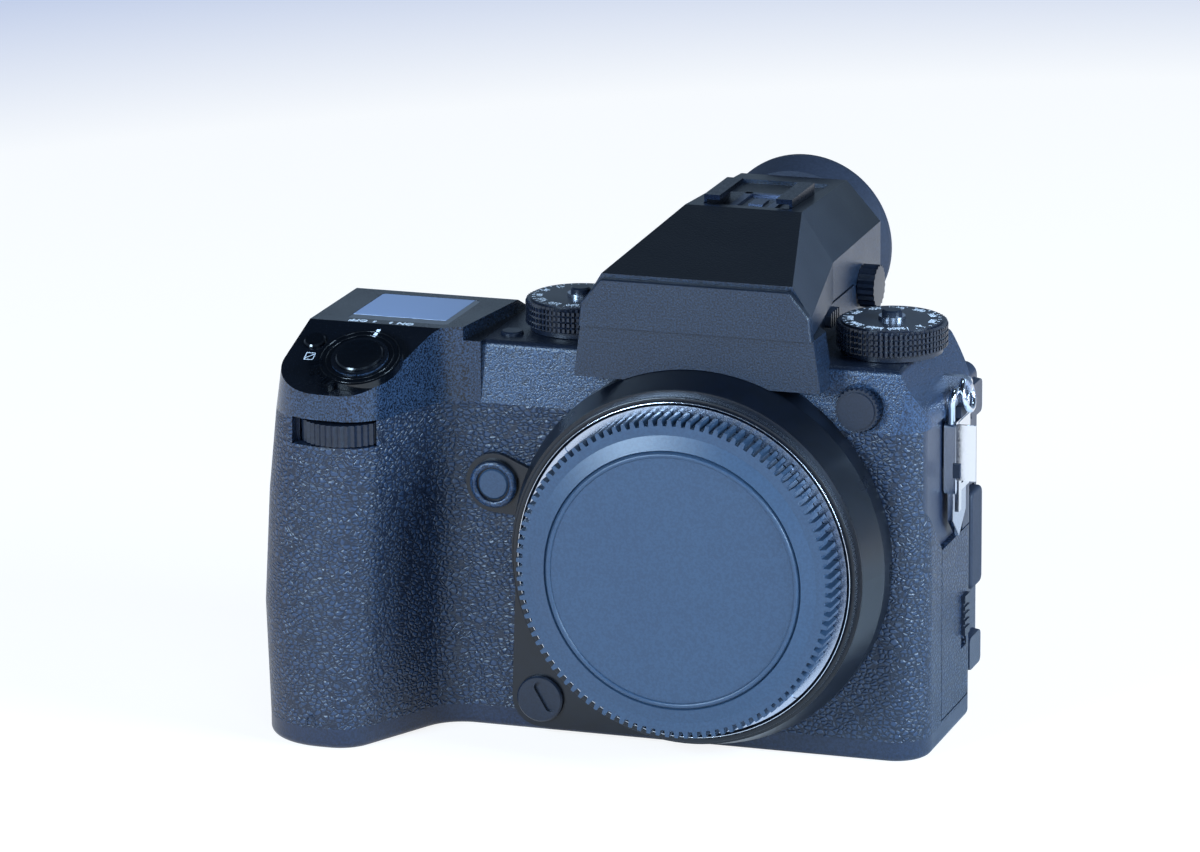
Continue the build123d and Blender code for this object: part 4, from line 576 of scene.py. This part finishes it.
# power switch: two fine ridges round the ring and ribs across its tabs
switchSpec = dict(x=-73.0, y=-35.0, face=1.76, ridges=(7.4, 8.7), ridge=(0.16, 0.07, 0.2), tabs=(200, 242),
                  ribs=(-0.9, 0.0, 0.9), ribOut=9.6, ribRise=0.15, rib=(3.0, 0.4, 0.4))
switchPlace = frameOf(onSlope(switchSpec["x"], switchSpec["y"], switchSpec["face"]), (1, 0, 0), slopeNormal)
foot, crest, rise = switchSpec["ridge"]
switchParts = [lathe([(r - foot, 0), (r + foot, 0), (r + crest, rise), (r - crest, rise)], switchPlace)
               for r in switchSpec["ridges"]]
switchUp = Vector(slopeNormal).cross(Vector((1, 0, 0)))
ribLevel = onSlope(switchSpec["x"], switchSpec["y"], switchSpec["face"] + switchSpec["ribRise"])
for degrees in switchSpec["tabs"]:
    along = Vector((cos(radians(degrees)), 0, 0)) + switchUp * sin(radians(degrees))
    across = Vector(slopeNormal).cross(along)
    for aside in switchSpec["ribs"]:
        ribAt = ribLevel + along * switchSpec["ribOut"] + across * aside
        switchParts.append(bar(*switchSpec["rib"], frameOf(ribAt, along, slopeNormal)))
joined("switchRidges", switchParts, "power", "glossBlack")
print("switch and mount dressed")

# strap clip: folded edge, keeper, the dull face of its tongue and the second turn of its ring
# each bar stands off the clip's face by its first number, at y and z, with its length, width and height after
clipSpec = dict(face=50.4, folds=[
    (2.2, -0.6, 65.1, 0.6, 12.4, 4.4), (0.2, 0.6, 55.4, 2.1, 7.4, 0.9), (0.05, 6.2, 71.0, 9.0, 0.5, 0.25),
], keepers=[
    (0.3, 0.3, 61.0, 3.4, 3.2, 1.6), (-0.2, 4.4, 73.2, 4.6, 2.6, 1.2),
], tongueX=49.68, tongue=[(-0.3, 55.2), (-0.3, 49.7), (5.0, 45.0), (10.3, 49.7), (10.3, 55.2)])
clipRing = dict(at=(51.4, 5.0, 76.6), axis=(1, 0, 0.25), radius=3.3, wire=0.7, sides=12, steps=64)


def clipBars(bars):
    return [bar(length, width, height, frameOf((clipSpec["face"] + off, y, z), (0, 1, 0), (1, 0, 0)))
            for off, y, z, length, width, height in bars]


joined("clipFold", clipBars(clipSpec["folds"]), "clip", "chromePlate")
joined("clipKeeper", clipBars(clipSpec["keepers"]), "clip", "softRubber")
tongue = bpy.data.meshes.new("clipTongue")
tongue.from_pydata([(clipSpec["tongueX"] * mm, y * mm, z * mm) for y, z in clipSpec["tongue"]],
                   [], [range(len(clipSpec["tongue"]))])
joined("clipTongue", [tongue], "clip", "turnedSteel")
wireTurns = [2 * pi * i / clipRing["sides"] for i in range(clipRing["sides"])]
wireRound = [(clipRing["radius"] + clipRing["wire"] * cos(turn), clipRing["wire"] * sin(turn))
             for turn in wireTurns]
ringPlace = frameOf(clipRing["at"], (0, 1, 0), clipRing["axis"])
joined("clipRing", [lathe(wireRound, ringPlace, clipRing["steps"])], "clip", "chromePlate")

# grip foot: the small arched plug over the cable channel
plug = dict(at=(-81.9, -46.42, 5.0), half=0.95, rise=1.3, line=0.26, thick=0.2, arch=9, archBar=0.4)


def plugBar(length, width, x, z, along):
    at = Vector(plug["at"]) + Vector((x, 0, z))
    return bar(length, width, plug["thick"], frameOf(at, along, (0, -1, 0)))


plugParts = [plugBar(plug["line"], plug["rise"], side * plug["half"], plug["rise"] / 2, (1, 0, 0))
             for side in (-1, 1)]
for i in range(plug["arch"]):
    angle = pi * (i + 0.5) / plug["arch"]
    plugParts.append(plugBar(plug["archBar"], plug["line"], plug["half"] * cos(angle),
                             plug["rise"] + plug["half"] * sin(angle), (-sin(angle), 0, cos(angle))))
joined("gripPlug", plugParts, "body", "softRubber")
print("clip and plug done")


# stage: a pale table that runs on behind, soft light, and the camera at the photograph's angle
# metres here: the table carries a painted pool of light, fading from its near to its far colour between these
# distances from its middle
table = dict(near="#ffffff", far="#a9bce4", size=9.0, middle=(0.15, 0.0), fade=(0.7, 1.02), glow=1.12,
             keep=0.25, shade=(0.1, 0.26))
half = table["size"] / 2
floorMesh = bpy.data.meshes.new("floor")
floorMesh.from_pydata([(-half, -half, 0), (half, -half, 0), (half, half, 0), (-half, half, 0)],
                      [], [(0, 1, 2, 3)])
floor = bpy.data.objects.new("floor", floorMesh)
bpy.context.scene.collection.objects.link(floor)
floorMaterial, tree, place = newMaterial("paleTable")
middle = addNode(tree, "ShaderNodeCombineXYZ", dict(zip("XY", table["middle"])))
apart = addNode(tree, "ShaderNodeVectorMath", {0: place.outputs["Object"], 1: middle.outputs[0]},
                operation="DISTANCE")
# painted pool of light: white round the table's middle, darker and bluer further off
depth = addNode(tree, "ShaderNodeMapRange", {
    "Value": apart.outputs["Value"], "From Min": table["fade"][0], "From Max": table["fade"][1]})
colour = addNode(tree, "ShaderNodeMix", {
    "Factor": depth.outputs["Result"], 6: linearColour(table["near"]), 7: linearColour(table["far"]),
}, data_type="RGBA")
matt = addNode(tree, "ShaderNodeBsdfDiffuse", {"Color": colour.outputs[2]})
glow = addNode(tree, "ShaderNodeEmission", {"Color": colour.outputs[2], "Strength": table["glow"]})
ray = addNode(tree, "ShaderNodeLightPath")
seen = addNode(tree, "ShaderNodeMath", {
    0: ray.outputs["Is Camera Ray"], 1: ray.outputs["Is Transmission Ray"]}, operation="MAXIMUM")
# shiny steel also sees the bright table, but not the part of it that lies in the camera's own shade
clear = addNode(tree, "ShaderNodeMapRange", {
    "Value": apart.outputs["Value"], "From Min": table["shade"][0], "From Max": table["shade"][1]})
shiny = addNode(tree, "ShaderNodeMath", {
    0: ray.outputs["Is Glossy Ray"], 1: clear.outputs["Result"]}, operation="MULTIPLY")
either = addNode(tree, "ShaderNodeMath", {0: seen.outputs[0], 1: shiny.outputs[0]}, operation="MAXIMUM")
share = addNode(tree, "ShaderNodeMath", {0: either.outputs[0], 1: 1 - table["keep"]}, operation="MULTIPLY")
mixed = addNode(tree, "ShaderNodeMixShader", {0: share.outputs[0], 1: matt.outputs[0], 2: glow.outputs[0]})
addNode(tree, "ShaderNodeOutputMaterial", {"Surface": mixed.outputs[0]})
floorMesh.materials.append(floorMaterial)

# the room is bright at the height of the table and dark overhead, so flat tops go nearly black
room = dict(colour="#bfdeff", backdrop="#eef2fc", height=(-0.8, -0.05), strength=(0.04, 0.52))
world = bpy.data.worlds.new("studio")
bpy.context.scene.world = world
world.use_nodes = True
tree = world.node_tree
tree.nodes.clear()
ray = addNode(tree, "ShaderNodeLightPath")
seen = addNode(tree, "ShaderNodeMath", {
    0: ray.outputs["Is Camera Ray"], 1: ray.outputs["Is Transmission Ray"]}, operation="MAXIMUM")
away = addNode(tree, "ShaderNodeNewGeometry")
towards = addNode(tree, "ShaderNodeSeparateXYZ", {0: away.outputs["Incoming"]})
lift = addNode(tree, "ShaderNodeMapRange", {
    "Value": towards.outputs["Z"], "From Min": room["height"][0], "From Max": room["height"][1],
    "To Min": room["strength"][0], "To Max": room["strength"][1],
}, interpolation_type="SMOOTHSTEP")
walls = addNode(tree, "ShaderNodeBackground", {
    "Color": linearColour(room["colour"]), "Strength": lift.outputs["Result"]})
backdrop = addNode(tree, "ShaderNodeBackground", {"Color": linearColour(room["backdrop"]), "Strength": 1.0})
mixed = addNode(tree, "ShaderNodeMixShader", {
    0: seen.outputs[0], 1: walls.outputs[0], 2: backdrop.outputs[0]})
addNode(tree, "ShaderNodeOutputWorld", {"Surface": mixed.outputs[0]})

lampColour = "#c6e4ff"
lampsAim = Vector((-20, 0, 50)) * mm
lamps = {
    "keyLeft": dict(at=(-520, -900, 430), size=340, watts=14.0),
    "fillRight": dict(at=(950, -160, 430), size=420, watts=18.0),
    "frontSoft": dict(at=(620, -1150, 420), size=520, watts=6.0),
    "overhead": dict(at=(150, 350, 1300), size=420, watts=2.0),
}
for name, lamp in lamps.items():
    light = bpy.data.lights.new(name, "AREA")
    light.energy = lamp["watts"]
    light.size = lamp["size"] * mm
    light.color = linearColour(lampColour)[:3]
    holder = bpy.data.objects.new(name, light)
    bpy.context.scene.collection.objects.link(holder)
    at = Vector(lamp["at"]) * mm
    aim = (lampsAim - at).to_track_quat("-Z", "Y")
    holder.matrix_world = Matrix.Translation(at) @ aim.to_matrix().to_4x4()

shot = dict(at=(429.4, -1383.2, 461.6), yaw=0.321, pitch=0.266, roll=0.008, lens=207.0, sensor=36.0,
            nearest=0.05)
right = Vector((cos(shot["yaw"]), sin(shot["yaw"]), 0))
level = Vector((-sin(shot["yaw"]), cos(shot["yaw"]), 0))
ahead = level * cos(shot["pitch"]) - Vector((0, 0, sin(shot["pitch"])))
down = ahead.cross(right)
rolledRight = right * cos(shot["roll"]) + down * sin(shot["roll"])
rolledDown = down * cos(shot["roll"]) - right * sin(shot["roll"])
cameraData = bpy.data.cameras.new("photoAngle")
cameraData.sensor_width = shot["sensor"]
cameraData.lens = shot["lens"]
cameraData.clip_start = shot["nearest"]
camera = bpy.data.objects.new("photoAngle", cameraData)
bpy.context.scene.collection.objects.link(camera)
camera.matrix_world = Matrix.Translation(Vector(shot["at"]) * mm) @ Matrix(
    (rolledRight, -rolledDown, -ahead)).transposed().to_4x4()
bpy.context.scene.camera = camera
bpy.context.scene.view_settings.view_transform = "Standard"
print("stage done")
